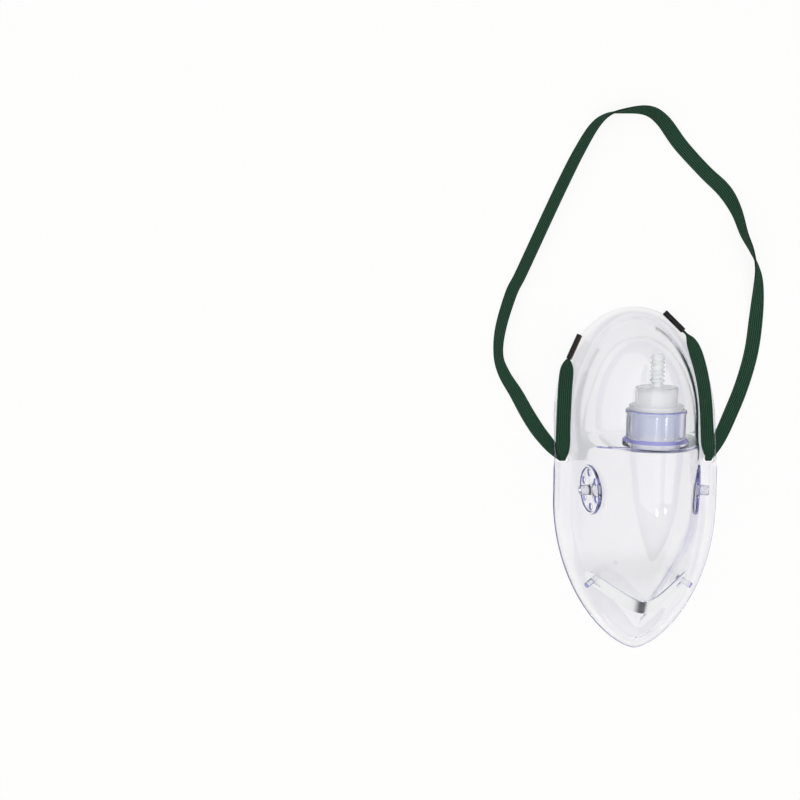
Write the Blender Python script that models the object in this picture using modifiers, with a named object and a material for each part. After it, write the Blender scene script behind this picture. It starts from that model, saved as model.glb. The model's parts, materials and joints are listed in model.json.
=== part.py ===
"""Adult oxygen face mask, lying rim-down as it would on a table.

Metres, +Z up. The plane x = 0 is the mask's plane of symmetry, +Y runs from the
nose end of the rim to its chin end, and z = 0 is the surface that it lies on.
The clear shell is one moulding. The tubing connector turns in its socket, the
aluminium clip sits on two pegs, and one elastic runs through both strap holes.
"""

import math

import bmesh
import bpy
import numpy as np
from mathutils import Matrix, Vector

GAP = 0.0003

# A small turn that keeps a round cutter's corners off the edges that it cuts
PART_TURN = Matrix.Rotation(math.radians(4), 4, "Z")

# Rim and crease, seen from above
HALF_WIDTH = 0.0360
NOSE_RUN = 0.0660
SIDE_RUN = 0.0365
CHIN_RUN = 0.0500
NOSE_POINT = 1.3
FLANGE_SIDE = 0.0080
FLANGE_NOSE = 0.0042
FLANGE_CHIN = 0.0046
SIDE_START = NOSE_RUN
SIDE_END = NOSE_RUN + SIDE_RUN
LENGTH = NOSE_RUN + SIDE_RUN + CHIN_RUN

# Shell section
WALL = 0.0010
RIM_TOP = 0.0008
FLAT_SHARE = 0.3
FLARE_POWER = 1.5
CREASE_Z = 0.0040
DOME_Z = 0.0285
RIDGE_SLOPE = 0.96
ROOF_SLOPE = 0.09
RIDGE_BEND_Y = 0.0560
RIDGE_BEND_SOFT = 0.0140
RIDGE_START = 0.0170
RIDGE_END = 0.1240
FLANK_SHARE = 0.81
FLANK_RISE = 0.40
ARCH_START = 0.0130
ARCH_BASE = 0.0014
ARCH_GROWTH = 0.19
ARCH_OPENS = 0.21
SHELF_TOP = 0.0905
SHELF_FOOT = 0.0970
SHELF_SOFT = 0.0005
DOME_HALF = 0.0230
DOME_CHIN = 0.1375
DOME_PULL = (0.85, 0.55)

# Rows round the shell and columns up it
NOSE_ROWS = 17
SIDE_ROWS_Y = (0.0720, 0.0790, 0.0840, 0.0875, 0.0893, 0.0901, 0.0909, 0.0922,
               0.0938, 0.0953, 0.0966, 0.0974, 0.0985, 0.1005)
CHIN_ROWS = 12
FLANGE_COLUMNS = (0, 0.3, 0.6, 0.83)
WALL_COLUMNS = 12

# The block under the mask that trims its lower edge to the table
TABLE_CUT = (0.12, 0.24, 0.01)
TABLE_CUT_Y = 0.07

# Where the strap passes under the rim, the rim lifts over it
LIFT = 0.0024
LIFT_Y = 0.0850
LIFT_REACH = 0.0300

# Socket and tubing connector, along their own axis
SOCKET_TILT = math.radians(8)
SOCKET_R = 0.0120
SOCKET_BORE_R = 0.0102
SOCKET_LENGTH = 0.0132
SOCKET_LIP_R = 0.0133
SOCKET_LIP_HEIGHT = 0.0004
SOCKET_FLARE = (0.0003, 0.0014)
SOCKET_FLARE_END = 0.0024
SOCKET_BEAD = 0.0004
SOCKET_BEAD_WIDTH = 0.0016
SOCKET_SINK = 0.0016
SPIGOT_R = 0.0099
SPIGOT_WALL = 0.0012
SPIGOT_TAPER = 0.0002
SPIGOT_END = -0.0030
SEAT_R = 0.0110
SEAT_HEIGHT = 0.0018
SEAT_EDGE = 0.0003
COLLAR_R = 0.0089
COLLAR_HEIGHT = 0.0074
COLLAR_WALL = 0.0015
COLLAR_EDGE = (0.0003, 0.0009)
COLLAR_STEP = (0.0006, 0.0010)
COLLAR_ROOF = 0.0014
COLLAR_ROOF_EDGE = (0.0010, 0.0008)
FLUTES = 8
FLUTE_R = 0.0060
FLUTE_DEPTH = 0.0005
FLUTE_FOOT = 0.0004
FLUTE_HEAD = 0.0011
NIPPLE_R = 0.0029
NIPPLE_BORE_R = 0.0017
NIPPLE_LENGTH = 0.0133
NIPPLE_RINGS = 6
RING_PITCH = 0.0018
RING_CREST = 0.0007
RING_FLANK = 0.0003
RING_FLOOR = 0.0004
RING_DEPTH = 0.0005
FIRST_RING = 0.0014
TIP_EDGE = 0.0006

# Exhalation discs in the side walls
DISC_Y = 0.0720
DISC_Z = 0.0220
DISC_R = 0.0108
DISC_THICK = 0.0020
DISC_RING = 0.0012
DISC_RECESS = 0.0005
DISC_RISE = 0.0007
DISC_LEDGE = 0.0009
DISC_HOLES = 6
HOLE_R = 0.0016
HOLE_CIRCLE_R = 0.0074
STUB_R = 0.0022
STUB_LENGTH = 0.0046

# Nose clip and its pegs
CLIP_WIDTH = 0.0075
CLIP_THICK = 0.0007
CLIP_Y = 0.0213
CLIP_REACH = 0.0222
CLIP_FALL = 0.90
CLIP_NOSE = 0.0024
CLIP_LIFT = 0.0006
SLOT_LENGTH = 0.0062
SLOT_WIDTH = 0.0032
SLOT_FROM_END = 0.0060
CLIP_END_HALF = 0.0003
PEG_R = 0.0012
PEG_LENGTH = 0.0048
PEG_ROOT = 0.0022
PEG_FROM_SLOT_END = 0.0004

# Strap and its holes in the rim
STRAP_HOLE_X = 0.0326
STRAP_HOLE_Y = 0.0840
STRAP_HOLE_LONG = 0.0054
STRAP_HOLE_WIDE = 0.0028
STRAP_THICK = 0.0010
TIP_R = 0.0013
TIP_BORE_R = 0.0010
TIP_LENGTH = 0.0118
TIP_BORE = 0.0030

# Each row of the strap's route is x, y, z, roll in degrees, and width.
LEFT_TAIL = (
    (-0.0286, 0.1316, 0.0030, 0, 0.0010),
    (-0.0291, 0.1305, 0.0030, 0, 0.0010),
    (-0.0297, 0.1293, 0.0030, 0, 0.0011),
    (-0.0302, 0.1275, 0.0031, 2, 0.0036),
    (-0.0307, 0.1240, 0.0033, 8, 0.0060),
    (-0.0315, 0.1160, 0.0036, 14, 0.0064),
    (-0.0320, 0.1060, 0.0037, 16, 0.0064),
    (-0.0324, 0.0980, 0.0041, 14, 0.0064),
    (-0.0326, 0.0915, 0.0048, 9, 0.0060),
    (-0.0326, 0.0877, 0.0054, 4, 0.0052),
    (-0.0326, 0.0853, 0.0054, 0, 0.0043),
    (-0.0326, 0.0841, 0.0043, 0, 0.0040),
    (-0.0326, 0.0840, 0.0030, 0, 0.0040),
)
LOOP = (
    (-0.0327, 0.0841, 0.0017, 0, 0.0040),
    (-0.0333, 0.0850, 0.0008, 0, 0.0043),
    (-0.0350, 0.0871, 0.0006, 0, 0.0050),
    (-0.0382, 0.0907, 0.0006, 0, 0.0058),
    (-0.0434, 0.0972, 0.0008, 0, 0.0064),
    (-0.0484, 0.1050, 0.0014, -12, 0.0064),
    (-0.0531, 0.1134, 0.0021, -25, 0.0064),
    (-0.0587, 0.1225, 0.0029, -42, 0.0064),
    (-0.0613, 0.1310, 0.0033, -55, 0.0064),
    (-0.0602, 0.1430, 0.0029, -45, 0.0064),
    (-0.0556, 0.1582, 0.0026, -38, 0.0064),
    (-0.0515, 0.1665, 0.0026, -38, 0.0064),
    (-0.0450, 0.1805, 0.0026, -38, 0.0064),
    (-0.0383, 0.1950, 0.0026, -38, 0.0064),
    (-0.0324, 0.2075, 0.0026, -38, 0.0064),
    (-0.0254, 0.2215, 0.0027, -42, 0.0064),
    (-0.0185, 0.2330, 0.0031, -52, 0.0064),
    (-0.0126, 0.2382, 0.0035, -70, 0.0064),
    (-0.0056, 0.2399, 0.0037, -90, 0.0064),
    (0.0050, 0.2402, 0.0035, -115, 0.0064),
    (0.0122, 0.2360, 0.0028, -140, 0.0064),
    (0.0207, 0.2252, 0.0014, -170, 0.0064),
    (0.0315, 0.2135, 0.0010, -178, 0.0064),
    (0.0401, 0.2046, 0.0020, -155, 0.0064),
    (0.0451, 0.1955, 0.0032, -122, 0.0064),
    (0.0486, 0.1850, 0.0036, -102, 0.0064),
    (0.0520, 0.1775, 0.0036, -85, 0.0064),
    (0.0545, 0.1700, 0.0032, -60, 0.0064),
    (0.0554, 0.1616, 0.0022, -32, 0.0064),
    (0.0546, 0.1467, 0.0008, -2, 0.0064),
    (0.0525, 0.1319, 0.0007, 0, 0.0064),
    (0.0483, 0.1172, 0.0007, 0, 0.0064),
    (0.0430, 0.1040, 0.0007, 0, 0.0064),
    (0.0385, 0.0940, 0.0007, 0, 0.0060),
    (0.0350, 0.0875, 0.0006, 0, 0.0050),
    (0.0333, 0.0850, 0.0008, 0, 0.0043),
    (0.0327, 0.0841, 0.0017, 0, 0.0040),
)
RIGHT_TAIL = (
    (0.0326, 0.0840, 0.0030, 0, 0.0040),
    (0.0326, 0.0841, 0.0043, 0, 0.0040),
    (0.0325, 0.0853, 0.0054, 0, 0.0043),
    (0.0323, 0.0877, 0.0054, 4, 0.0052),
    (0.0320, 0.0915, 0.0049, 8, 0.0060),
    (0.0318, 0.0980, 0.0043, 12, 0.0064),
    (0.0315, 0.1060, 0.0041, 14, 0.0064),
    (0.0307, 0.1150, 0.0040, 14, 0.0064),
    (0.0291, 0.1240, 0.0039, 12, 0.0064),
    (0.0268, 0.1320, 0.0038, 8, 0.0062),
    (0.0248, 0.1370, 0.0036, 3, 0.0044),
    (0.0231, 0.1399, 0.0032, 0, 0.0012),
    (0.0218, 0.1413, 0.0030, 0, 0.0010),
    (0.0206, 0.1426, 0.0030, 0, 0.0010),
    (0.0196, 0.1436, 0.0030, 0, 0.0010),
)
STRAP_STEPS = 2


def new_material(name, color, roughness, metallic=0.0, transmission=0.0):
    """A plain Principled material; the colour is linear RGB."""
    material = bpy.data.materials.new(name)
    material.use_nodes = True
    shader = material.node_tree.nodes["Principled BSDF"]
    shader.inputs["Base Color"].default_value = (*color, 1.0)
    shader.inputs["Roughness"].default_value = roughness
    shader.inputs["Metallic"].default_value = metallic
    shader.inputs["Transmission Weight"].default_value = transmission
    return material


def new_object(name, mesh, collection, material=None):
    part = bpy.data.objects.new(name, mesh)
    collection.objects.link(part)
    if material is not None:
        mesh.materials.append(material)
    return part


def new_cutter(name, mesh):
    """A shape that cuts or joins another one and isn't a part itself."""
    cutter = new_object(name, mesh, cutters)
    cutter.hide_render = True
    cutter.display_type = "WIRE"
    return cutter


def boolean(part, other, operation):
    step = part.modifiers.new(other.name, "BOOLEAN")
    step.operation = operation
    step.solver = "EXACT"
    step.object = other


def grid_mesh(name, points):
    """An open surface through an array of points, rows by columns. It faces
    the way that the row direction crossed with the column direction points."""
    rows, columns, _ = points.shape
    index = np.arange(rows * columns).reshape(rows, columns)
    corners = (index[:-1, :-1], index[1:, :-1], index[1:, 1:], index[:-1, 1:])
    quads = np.stack(corners, axis=-1).reshape(-1, 4)
    mesh = bpy.data.meshes.new(name)
    mesh.from_pydata(points.reshape(-1, 3).tolist(), [], quads.tolist())
    return mesh


def merge_close(mesh, distance=0.000002):
    """Close the seams and poles of a surface, whose faces then all face out."""
    work = bmesh.new()
    work.from_mesh(mesh)
    bmesh.ops.remove_doubles(work, verts=work.verts, dist=distance)
    bmesh.ops.dissolve_degenerate(work, edges=work.edges, dist=distance)
    work.to_mesh(mesh)
    work.free()


def turned_mesh(name, profile, steps):
    """A solid of revolution about Z from a closed profile of (radius, height)
    corners. A side of the profile that lies on the axis sweeps no face."""
    work = bmesh.new()
    loop = [work.verts.new((radius, 0, height)) for radius, height in profile]
    sides = zip(loop, loop[1:] + loop[:1])
    edges = [work.edges.new(pair) for pair in sides if pair[0].co.x + pair[1].co.x > 0]
    bmesh.ops.spin(work, geom=loop + edges, cent=(0, 0, 0), axis=(0, 0, 1),
                   angle=2 * math.pi, steps=steps, use_merge=True)
    bmesh.ops.remove_doubles(work, verts=work.verts, dist=0.000002)
    bmesh.ops.dissolve_degenerate(work, edges=work.edges, dist=0.000002)
    bmesh.ops.recalc_face_normals(work, faces=work.faces)
    mesh = bpy.data.meshes.new(name)
    work.to_mesh(mesh)
    work.free()
    return mesh


def cylinder_mesh(name, radius, low, high, steps):
    """A plain cylinder along Z from height low to height high."""
    work = bmesh.new()
    bmesh.ops.create_cone(work, cap_ends=True, segments=steps, radius1=radius,
                          radius2=radius, depth=high - low,
                          matrix=Matrix.Translation((0, 0, 0.5 * (low + high))))
    mesh = bpy.data.meshes.new(name)
    work.to_mesh(mesh)
    work.free()
    return mesh


def slot_mesh(name, length, width, low, high, steps=8):
    """A long round-ended bar along Z; its section is long in X, wide in Y."""
    radius = 0.5 * width
    reach = 0.5 * length - radius
    turn = np.linspace(-0.5 * math.pi, 0.5 * math.pi, steps + 1)
    right = [(reach + radius * math.cos(a), radius * math.sin(a)) for a in turn]
    outline = right + [(-x, -y) for x, y in right]
    work = bmesh.new()
    face = work.faces.new([work.verts.new((x, y, low)) for x, y in outline])
    grown = bmesh.ops.extrude_face_region(work, geom=[face])
    top = [v for v in grown["geom"] if isinstance(v, bmesh.types.BMVert)]
    bmesh.ops.translate(work, verts=top, vec=(0, 0, high - low))
    bmesh.ops.recalc_face_normals(work, faces=work.faces)
    mesh = bpy.data.meshes.new(name)
    work.to_mesh(mesh)
    work.free()
    return mesh


def frame_at(point, outward, along):
    """A matrix at a point whose Z is outward and whose X lies near along."""
    z_axis = Vector(outward).normalized()
    x_axis = (Vector(along) - z_axis * z_axis.dot(Vector(along))).normalized()
    y_axis = z_axis.cross(x_axis)
    turn = Matrix((x_axis, y_axis, z_axis)).transposed()
    return Matrix.Translation(Vector(point)) @ turn.to_4x4()


def plan_line(t, half_width, nose_start, chin_end):
    """One line round half the mask, seen from above: t goes 0 to 1 round the
    nose, 1 to 2 straight along the side and 2 to 3 round the chin, which is a
    quarter ellipse. The nose is an ellipse too, but more pointed."""
    nose = 0.5 * math.pi * np.clip(t, 0, 1)
    chin = 0.5 * math.pi * np.clip(t - 2, 0, 1)
    side = np.clip(t - 1, 0, 1)
    x = half_width * np.sin(nose) ** NOSE_POINT * np.cos(chin)
    y = nose_start + (SIDE_START - nose_start) * (1 - np.cos(nose))
    y = y + SIDE_RUN * side + (chin_end - SIDE_END) * np.sin(chin)
    return x, y


def soft_bend(distance, soft):
    """0 before a bend and the distance past it after, with a parabola between."""
    near = np.clip(distance + soft, 0, 2 * soft)
    return near ** 2 / (4 * soft) + np.maximum(distance - soft, 0)


def ridge_height(y):
    """Height of the nose ridge: a straight slope that bends over to a near level roof."""
    bend = soft_bend(y - RIDGE_BEND_Y, RIDGE_BEND_SOFT)
    return CREASE_Z + RIDGE_SLOPE * (y - FLANGE_NOSE) - (RIDGE_SLOPE - ROOF_SLOPE) * bend


def cubic_line(start, first, second, end, v):
    """A cubic Bezier; v is 0 at its start and 1 at its end."""
    v = v[..., None]
    outer = (1 - v) ** 3 * start + 3 * v * (1 - v) ** 2 * first
    return outer + 3 * v ** 2 * (1 - v) * second + v ** 3 * end


def shelf_step(y):
    """0 on the nose cone and 1 on the chin dome: a ramp with soft ends."""
    top = np.logaddexp(0, (y - SHELF_TOP) / SHELF_SOFT)
    foot = np.logaddexp(0, (y - SHELF_FOOT) / SHELF_SOFT)
    return (top - foot) * SHELF_SOFT / (SHELF_FOOT - SHELF_TOP)


def crease_line(t):
    """The foot of the wall, where it meets the flange."""
    x, y = plan_line(t, HALF_WIDTH - FLANGE_SIDE, FLANGE_NOSE, LENGTH - FLANGE_CHIN)
    return np.stack([x, y, np.full_like(x, CREASE_Z)], axis=-1)


def cone_point(t, v):
    """The nose cone. Each line climbs the flank, which is steeper where the cone is
    high, and turns over a round arch, which widens with the distance from the tip."""
    start = crease_line(t)
    along = np.clip((start[..., 1] - FLANGE_NOSE) / (SIDE_START - FLANGE_NOSE), 0, 1)
    behind = np.maximum(start[..., 1] - SIDE_START, 0)
    ridge_y = RIDGE_START + along * (SIDE_START - RIDGE_START) + behind
    arch_y = ARCH_START + along * (SIDE_START - ARCH_START) + behind
    opening = np.sin(0.5 * math.pi * np.clip(t / ARCH_OPENS, 0, 1))
    top = ridge_height(ridge_y)
    share = FLANK_SHARE * (top - CREASE_Z) / (ridge_height(SHELF_TOP) - CREASE_Z)
    lean = FLANK_RISE + (1 - FLANK_RISE) * opening
    flank = np.stack([share * start[..., 0], start[..., 1] + lean * (ridge_y - start[..., 1]),
                      CREASE_Z + FLANK_RISE * (top - CREASE_Z)], axis=-1)
    arch_x = (ARCH_BASE + ARCH_GROWTH * arch_y) * opening
    arch = np.stack([arch_x, arch_y, ridge_height(arch_y)], axis=-1)
    ridge = np.stack([0 * ridge_y, ridge_y, top], axis=-1)
    return cubic_line(start, flank, arch, ridge, v)


def dome_point(t, v):
    """The chin dome. Each line bends over a round shoulder to a flat top."""
    start = crease_line(t)
    corner_x, corner_y = plan_line(t, DOME_HALF, FLANGE_NOSE, DOME_CHIN)
    corner_y = np.where(t < 2, start[..., 1], corner_y)
    chin = np.clip((start[..., 1] - SIDE_END) / (LENGTH - FLANGE_CHIN - SIDE_END), 0, 1)
    top_y = np.where(t < 2, start[..., 1], SIDE_END + chin * (RIDGE_END - SIDE_END))
    height = np.full_like(corner_x, DOME_Z)
    corner = np.stack([corner_x, corner_y, height], axis=-1)
    ridge = np.stack([0 * top_y, top_y, height], axis=-1)
    first = start + DOME_PULL[0] * (corner - start)
    second = ridge + DOME_PULL[1] * (corner - ridge)
    return cubic_line(start, first, second, ridge, v)


def wall_point(t, v):
    """The shell's outer surface: v goes 0 to 1 from the crease to the ridge, and the
    shelf blends the cone into the dome."""
    t, v = np.broadcast_arrays(np.asarray(t, float), np.asarray(v, float))
    share = shelf_step(crease_line(t)[..., 1])[..., None]
    return (1 - share) * cone_point(t, v) + share * dome_point(t, v)


def flange_point(t, f):
    """The flange's upper surface: f goes 0 to 1 from the rim to the crease.
    It is flat at the rim, then flares up to the crease, and it lifts over
    the strap."""
    t, f = np.broadcast_arrays(np.asarray(t, float), np.asarray(f, float))
    rim_x, rim_y = plan_line(t, HALF_WIDTH, 0, LENGTH)
    crease = crease_line(t)
    x = rim_x + f * (crease[..., 0] - rim_x)
    y = rim_y + f * (crease[..., 1] - rim_y)
    flare = np.clip((f - FLAT_SHARE) / (1 - FLAT_SHARE), 0, 1) ** FLARE_POWER
    reach = np.clip((y - LIFT_Y) / LIFT_REACH, -1, 1)
    lift = LIFT * np.cos(0.5 * math.pi * reach) ** 2 * (1 - f ** 2)
    z = RIM_TOP + (CREASE_Z - RIM_TOP) * flare + lift
    return np.stack([x, y, z], axis=-1)


def wall_normal(t, v):
    """The outward normal of the wall, from two short steps on its surface."""
    step = 0.001
    across = wall_point(t, v + step) - wall_point(t, v - step)
    around = wall_point(t + step, v) - wall_point(t - step, v)
    normal = np.cross(around, across)
    return normal / np.linalg.norm(normal, axis=-1, keepdims=True)


def wall_spot(y, z):
    """The wall's point and normal on the right side, at a given y and z."""
    t = 1 + (y - SIDE_START) / SIDE_RUN
    v_line = np.linspace(0, 1, 400)
    v = np.interp(z, wall_point(t, v_line)[:, 2], v_line)
    return wall_point(t, v), wall_normal(t, v)


def shell_surface():
    """Half of the shell's outer surface, from the rim to the ridge."""
    nose = np.linspace(0, 1, NOSE_ROWS)
    side = 1 + (np.array(SIDE_ROWS_Y) - SIDE_START) / SIDE_RUN
    chin = np.linspace(2, 3, CHIN_ROWS)
    t = np.concatenate([nose, side, chin])[:, None]
    flange = flange_point(t, np.array(FLANGE_COLUMNS)[None, :])
    wall = wall_point(t, np.linspace(0, 1, WALL_COLUMNS)[None, :])
    surface = np.concatenate([flange, wall], axis=1)
    ends = np.isin(np.arange(len(t)), (0, len(t) - 1))
    surface[ends, :, 0] = 0
    surface[:, -1, 0] = 0
    return surface


def make_shell(material):
    mesh = grid_mesh("face_shell", shell_surface())
    merge_close(mesh)
    shell = new_object("face_shell", mesh, parts, material)
    mirror = shell.modifiers.new("mirror", "MIRROR")
    mirror.merge_threshold = 0.000005
    wall = shell.modifiers.new("wall", "SOLIDIFY")
    wall.thickness = WALL
    wall.offset = -1
    wall.use_even_offset = True
    wall.use_quality_normals = True

    table = bmesh.new()
    centre = Matrix.Translation((0, TABLE_CUT_Y, -0.5 * TABLE_CUT[2]))
    place = centre @ Matrix.Diagonal((*TABLE_CUT, 1))
    bmesh.ops.create_cube(table, size=1, matrix=place)
    table_mesh = bpy.data.meshes.new("table_cut")
    table.to_mesh(table_mesh)
    table.free()
    boolean(shell, new_cutter("table_cut", table_mesh), "DIFFERENCE")
    return shell


def socket_frame():
    """The socket's frame, in the middle of the shelf, with its axis along Z."""
    middle = Vector((0, 0.5 * (SHELF_TOP + SHELF_FOOT), 0.5 * (ridge_height(SHELF_TOP) + DOME_Z)))
    return Matrix.Translation(middle) @ Matrix.Rotation(SOCKET_TILT - 0.5 * math.pi, 4, "X")


def add_socket(shell):
    """A plain round socket with a foot lip and a small bead at its mouth."""
    bead_foot = SOCKET_LENGTH - SOCKET_BEAD_WIDTH
    bead_crest = SOCKET_LENGTH - 0.5 * SOCKET_BEAD_WIDTH
    profile = [(0, -SOCKET_SINK), (SOCKET_LIP_R, -SOCKET_SINK),
               (SOCKET_LIP_R, SOCKET_LIP_HEIGHT),
               (SOCKET_R + SOCKET_FLARE[0], SOCKET_FLARE[1]), (SOCKET_R, SOCKET_FLARE_END),
               (SOCKET_R, bead_foot), (SOCKET_R + SOCKET_BEAD, bead_crest),
               (SOCKET_R, SOCKET_LENGTH), (0, SOCKET_LENGTH)]
    socket = new_cutter("socket_body", turned_mesh("socket_body", profile, 40))
    socket.matrix_world = socket_frame()
    boolean(shell, socket, "UNION")
    bore_mesh = cylinder_mesh("socket_bore", SOCKET_BORE_R, -0.008, SOCKET_LENGTH + 0.003, 40)
    bore = new_cutter("socket_bore", bore_mesh)
    bore.matrix_world = socket_frame() @ PART_TURN
    boolean(shell, bore, "DIFFERENCE")


def add_exhalation_disc(shell, side):
    """A disc moulded in the side wall: a raised ring, six holes and a stub."""
    point, normal = wall_spot(DISC_Y, DISC_Z)
    flip = np.array([side, 1, 1])
    place = frame_at(point * flip, normal * flip, (0, 1, 0))
    name = "disc_right" if side > 0 else "disc_left"
    window_mesh = cylinder_mesh(name, DISC_R - DISC_LEDGE, -0.004, 0.004, 32)
    window = new_cutter(name + "_window", window_mesh)
    window.matrix_world = place
    boolean(shell, window, "DIFFERENCE")

    inner = DISC_RISE - DISC_THICK
    floor = DISC_RISE - DISC_RECESS
    profile = [(0, inner), (DISC_R, inner), (DISC_R, DISC_RISE), (DISC_R - DISC_RING, DISC_RISE),
               (DISC_R - DISC_RING, floor), (STUB_R, floor), (STUB_R, floor + STUB_LENGTH),
               (0, floor + STUB_LENGTH)]
    plate = new_cutter(name + "_plate", turned_mesh(name + "_plate", profile, 32))
    plate.matrix_world = place @ PART_TURN
    boolean(shell, plate, "UNION")
    for number in range(DISC_HOLES):
        angle = 2 * math.pi * number / DISC_HOLES
        offset = (HOLE_CIRCLE_R * math.cos(angle), HOLE_CIRCLE_R * math.sin(angle), 0)
        hole = new_cutter(f"{name}_hole_{number}", cylinder_mesh(name, HOLE_R, -0.004, 0.004, 12))
        hole.matrix_world = place @ Matrix.Translation(offset)
        boolean(shell, hole, "DIFFERENCE")


def clip_line():
    """The strip's inner face from its left end to its right, and its normals. Seen
    along the ridge it is a V with a round nose, because a flat strip can only be
    bent about its own width, which lies along the ridge."""
    slope = math.atan(RIDGE_SLOPE)
    up = np.array([0, -math.sin(slope), math.cos(slope)])
    x = np.linspace(-CLIP_REACH, CLIP_REACH, 301)
    round_x = np.hypot(x, CLIP_NOSE)
    height = CLIP_LIFT - CLIP_FALL * (round_x - CLIP_NOSE)
    apex = np.array([0, CLIP_Y, ridge_height(CLIP_Y)])
    points = apex + height[:, None] * up
    points[:, 0] += x
    normals = np.repeat(up[None, :], len(x), axis=0)
    normals[:, 0] += CLIP_FALL * x / round_x
    return points, normals / np.linalg.norm(normals, axis=1, keepdims=True)


def resampled(points, normals, count):
    """The same line with even steps, closer at the two round ends."""
    steps = np.linalg.norm(np.diff(points, axis=0), axis=1)
    length = np.concatenate([[0], np.cumsum(steps)])
    half = 0.5 * CLIP_WIDTH
    end = half * (1 - np.cos(np.linspace(0, 0.5 * math.pi, 6)))[:-1]
    middle = np.linspace(half, length[-1] - half, count)
    at = np.concatenate([end, middle, length[-1] - end[::-1]])
    line = np.stack([np.interp(at, length, points[:, k]) for k in range(3)], axis=-1)
    out = np.stack([np.interp(at, length, normals[:, k]) for k in range(3)], axis=-1)
    near_end = np.minimum(np.minimum(at, length[-1] - at), half)
    half_width = np.sqrt(half ** 2 - (half - near_end) ** 2)
    return line, out, np.maximum(half_width, CLIP_END_HALF), at, length[-1]


def make_clip(material):
    """The aluminium strip, bent over the cone; its ends are round."""
    points, normals = clip_line()
    line, out, half_width, at, length = resampled(points, normals, 31)
    along = np.gradient(line, axis=0)
    along /= np.linalg.norm(along, axis=1, keepdims=True)
    across = np.cross(out, along)
    across /= np.linalg.norm(across, axis=1, keepdims=True)
    lifted = line + out * CLIP_THICK
    columns = [lifted + across * half_width[:, None] * share for share in (-1, 0, 1)]
    mesh = grid_mesh("nose_clip", np.stack(columns, axis=1))
    clip = new_object("nose_clip", mesh, parts, material)
    strip = clip.modifiers.new("thickness", "SOLIDIFY")
    strip.thickness = CLIP_THICK
    strip.offset = -1
    strip.use_even_offset = True
    places = []
    for side, distance in ((-1, SLOT_FROM_END), (1, length - SLOT_FROM_END)):
        middle = [np.interp(distance, at, line[:, k]) for k in range(3)]
        outward = [np.interp(distance, at, out[:, k]) for k in range(3)]
        direction = [np.interp(distance, at, along[:, k]) for k in range(3)]
        place = frame_at(middle, outward, direction)
        name = "slot_right" if side > 0 else "slot_left"
        slot = new_cutter(name, slot_mesh(name, SLOT_LENGTH, SLOT_WIDTH, -0.003, 0.004))
        slot.matrix_world = place
        boolean(clip, slot, "DIFFERENCE")
        places.append((side, place))
    return places


def add_pegs(shell, places):
    """Two short pegs of the shell stand through the clip's slots."""
    shift = 0.5 * SLOT_LENGTH - PEG_R - PEG_FROM_SLOT_END
    for side, place in places:
        name = "peg_right" if side > 0 else "peg_left"
        mesh = cylinder_mesh(name, PEG_R, -PEG_ROOT, PEG_LENGTH, 14)
        peg = new_cutter(name, mesh)
        peg.matrix_world = place @ Matrix.Translation((side * shift, 0, 0))
        boolean(shell, peg, "UNION")


def add_strap_holes(shell):
    for side in (-1, 1):
        name = "strap_hole_right" if side > 0 else "strap_hole_left"
        hole = new_cutter(name, slot_mesh(name, STRAP_HOLE_LONG, STRAP_HOLE_WIDE, -0.002, 0.012))
        hole.location = (side * STRAP_HOLE_X, STRAP_HOLE_Y, 0)
        boolean(shell, hole, "DIFFERENCE")


def make_connector(material):
    """Spigot, seat flange, fluted collar and ringed nipple, one moulding."""
    seat = SOCKET_LENGTH + GAP
    collar = seat + SEAT_HEIGHT
    nipple = collar + COLLAR_HEIGHT
    tip = nipple + NIPPLE_LENGTH
    bore = SPIGOT_R - SPIGOT_WALL
    collar_bore = COLLAR_R - COLLAR_WALL
    rings = []
    for number in range(NIPPLE_RINGS):
        crest = tip - FIRST_RING - number * RING_PITCH
        foot = crest - RING_CREST - RING_FLANK
        rings += [(NIPPLE_R, crest), (NIPPLE_R, crest - RING_CREST),
                  (NIPPLE_R - RING_DEPTH, foot), (NIPPLE_R - RING_DEPTH, foot - RING_FLOOR)]
    low, high = COLLAR_EDGE
    roof = nipple - COLLAR_ROOF
    profile = [(NIPPLE_BORE_R, tip), (NIPPLE_R - TIP_EDGE, tip)] + rings + [
        (NIPPLE_R, nipple), (COLLAR_R - high, nipple), (COLLAR_R - low, nipple - low),
        (COLLAR_R, nipple - high), (COLLAR_R, collar), (SEAT_R - SEAT_EDGE, collar),
        (SEAT_R, collar - SEAT_EDGE), (SEAT_R, seat), (SPIGOT_R, seat),
        (SPIGOT_R - SPIGOT_TAPER, SPIGOT_END), (bore, SPIGOT_END),
        (bore, seat - COLLAR_STEP[0]), (collar_bore, seat + COLLAR_STEP[1]),
        (collar_bore, roof - COLLAR_ROOF_EDGE[1]), (collar_bore - COLLAR_ROOF_EDGE[0], roof),
        (NIPPLE_BORE_R, roof)]
    mesh = turned_mesh("tubing_connector", profile, 32)
    connector = new_object("tubing_connector", mesh, parts, material)
    connector.matrix_world = socket_frame()
    for number in range(FLUTES):
        angle = math.radians(360 / FLUTES * number)
        reach = COLLAR_R - FLUTE_DEPTH + FLUTE_R
        name = f"flute_{number}"
        mesh = cylinder_mesh(name, FLUTE_R, collar + FLUTE_FOOT, nipple - FLUTE_HEAD, 32)
        flute = new_cutter(name, mesh)
        offset = Matrix.Translation((reach * math.cos(angle), reach * math.sin(angle), 0))
        flute.matrix_world = socket_frame() @ offset
        boolean(connector, flute, "DIFFERENCE")


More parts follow.
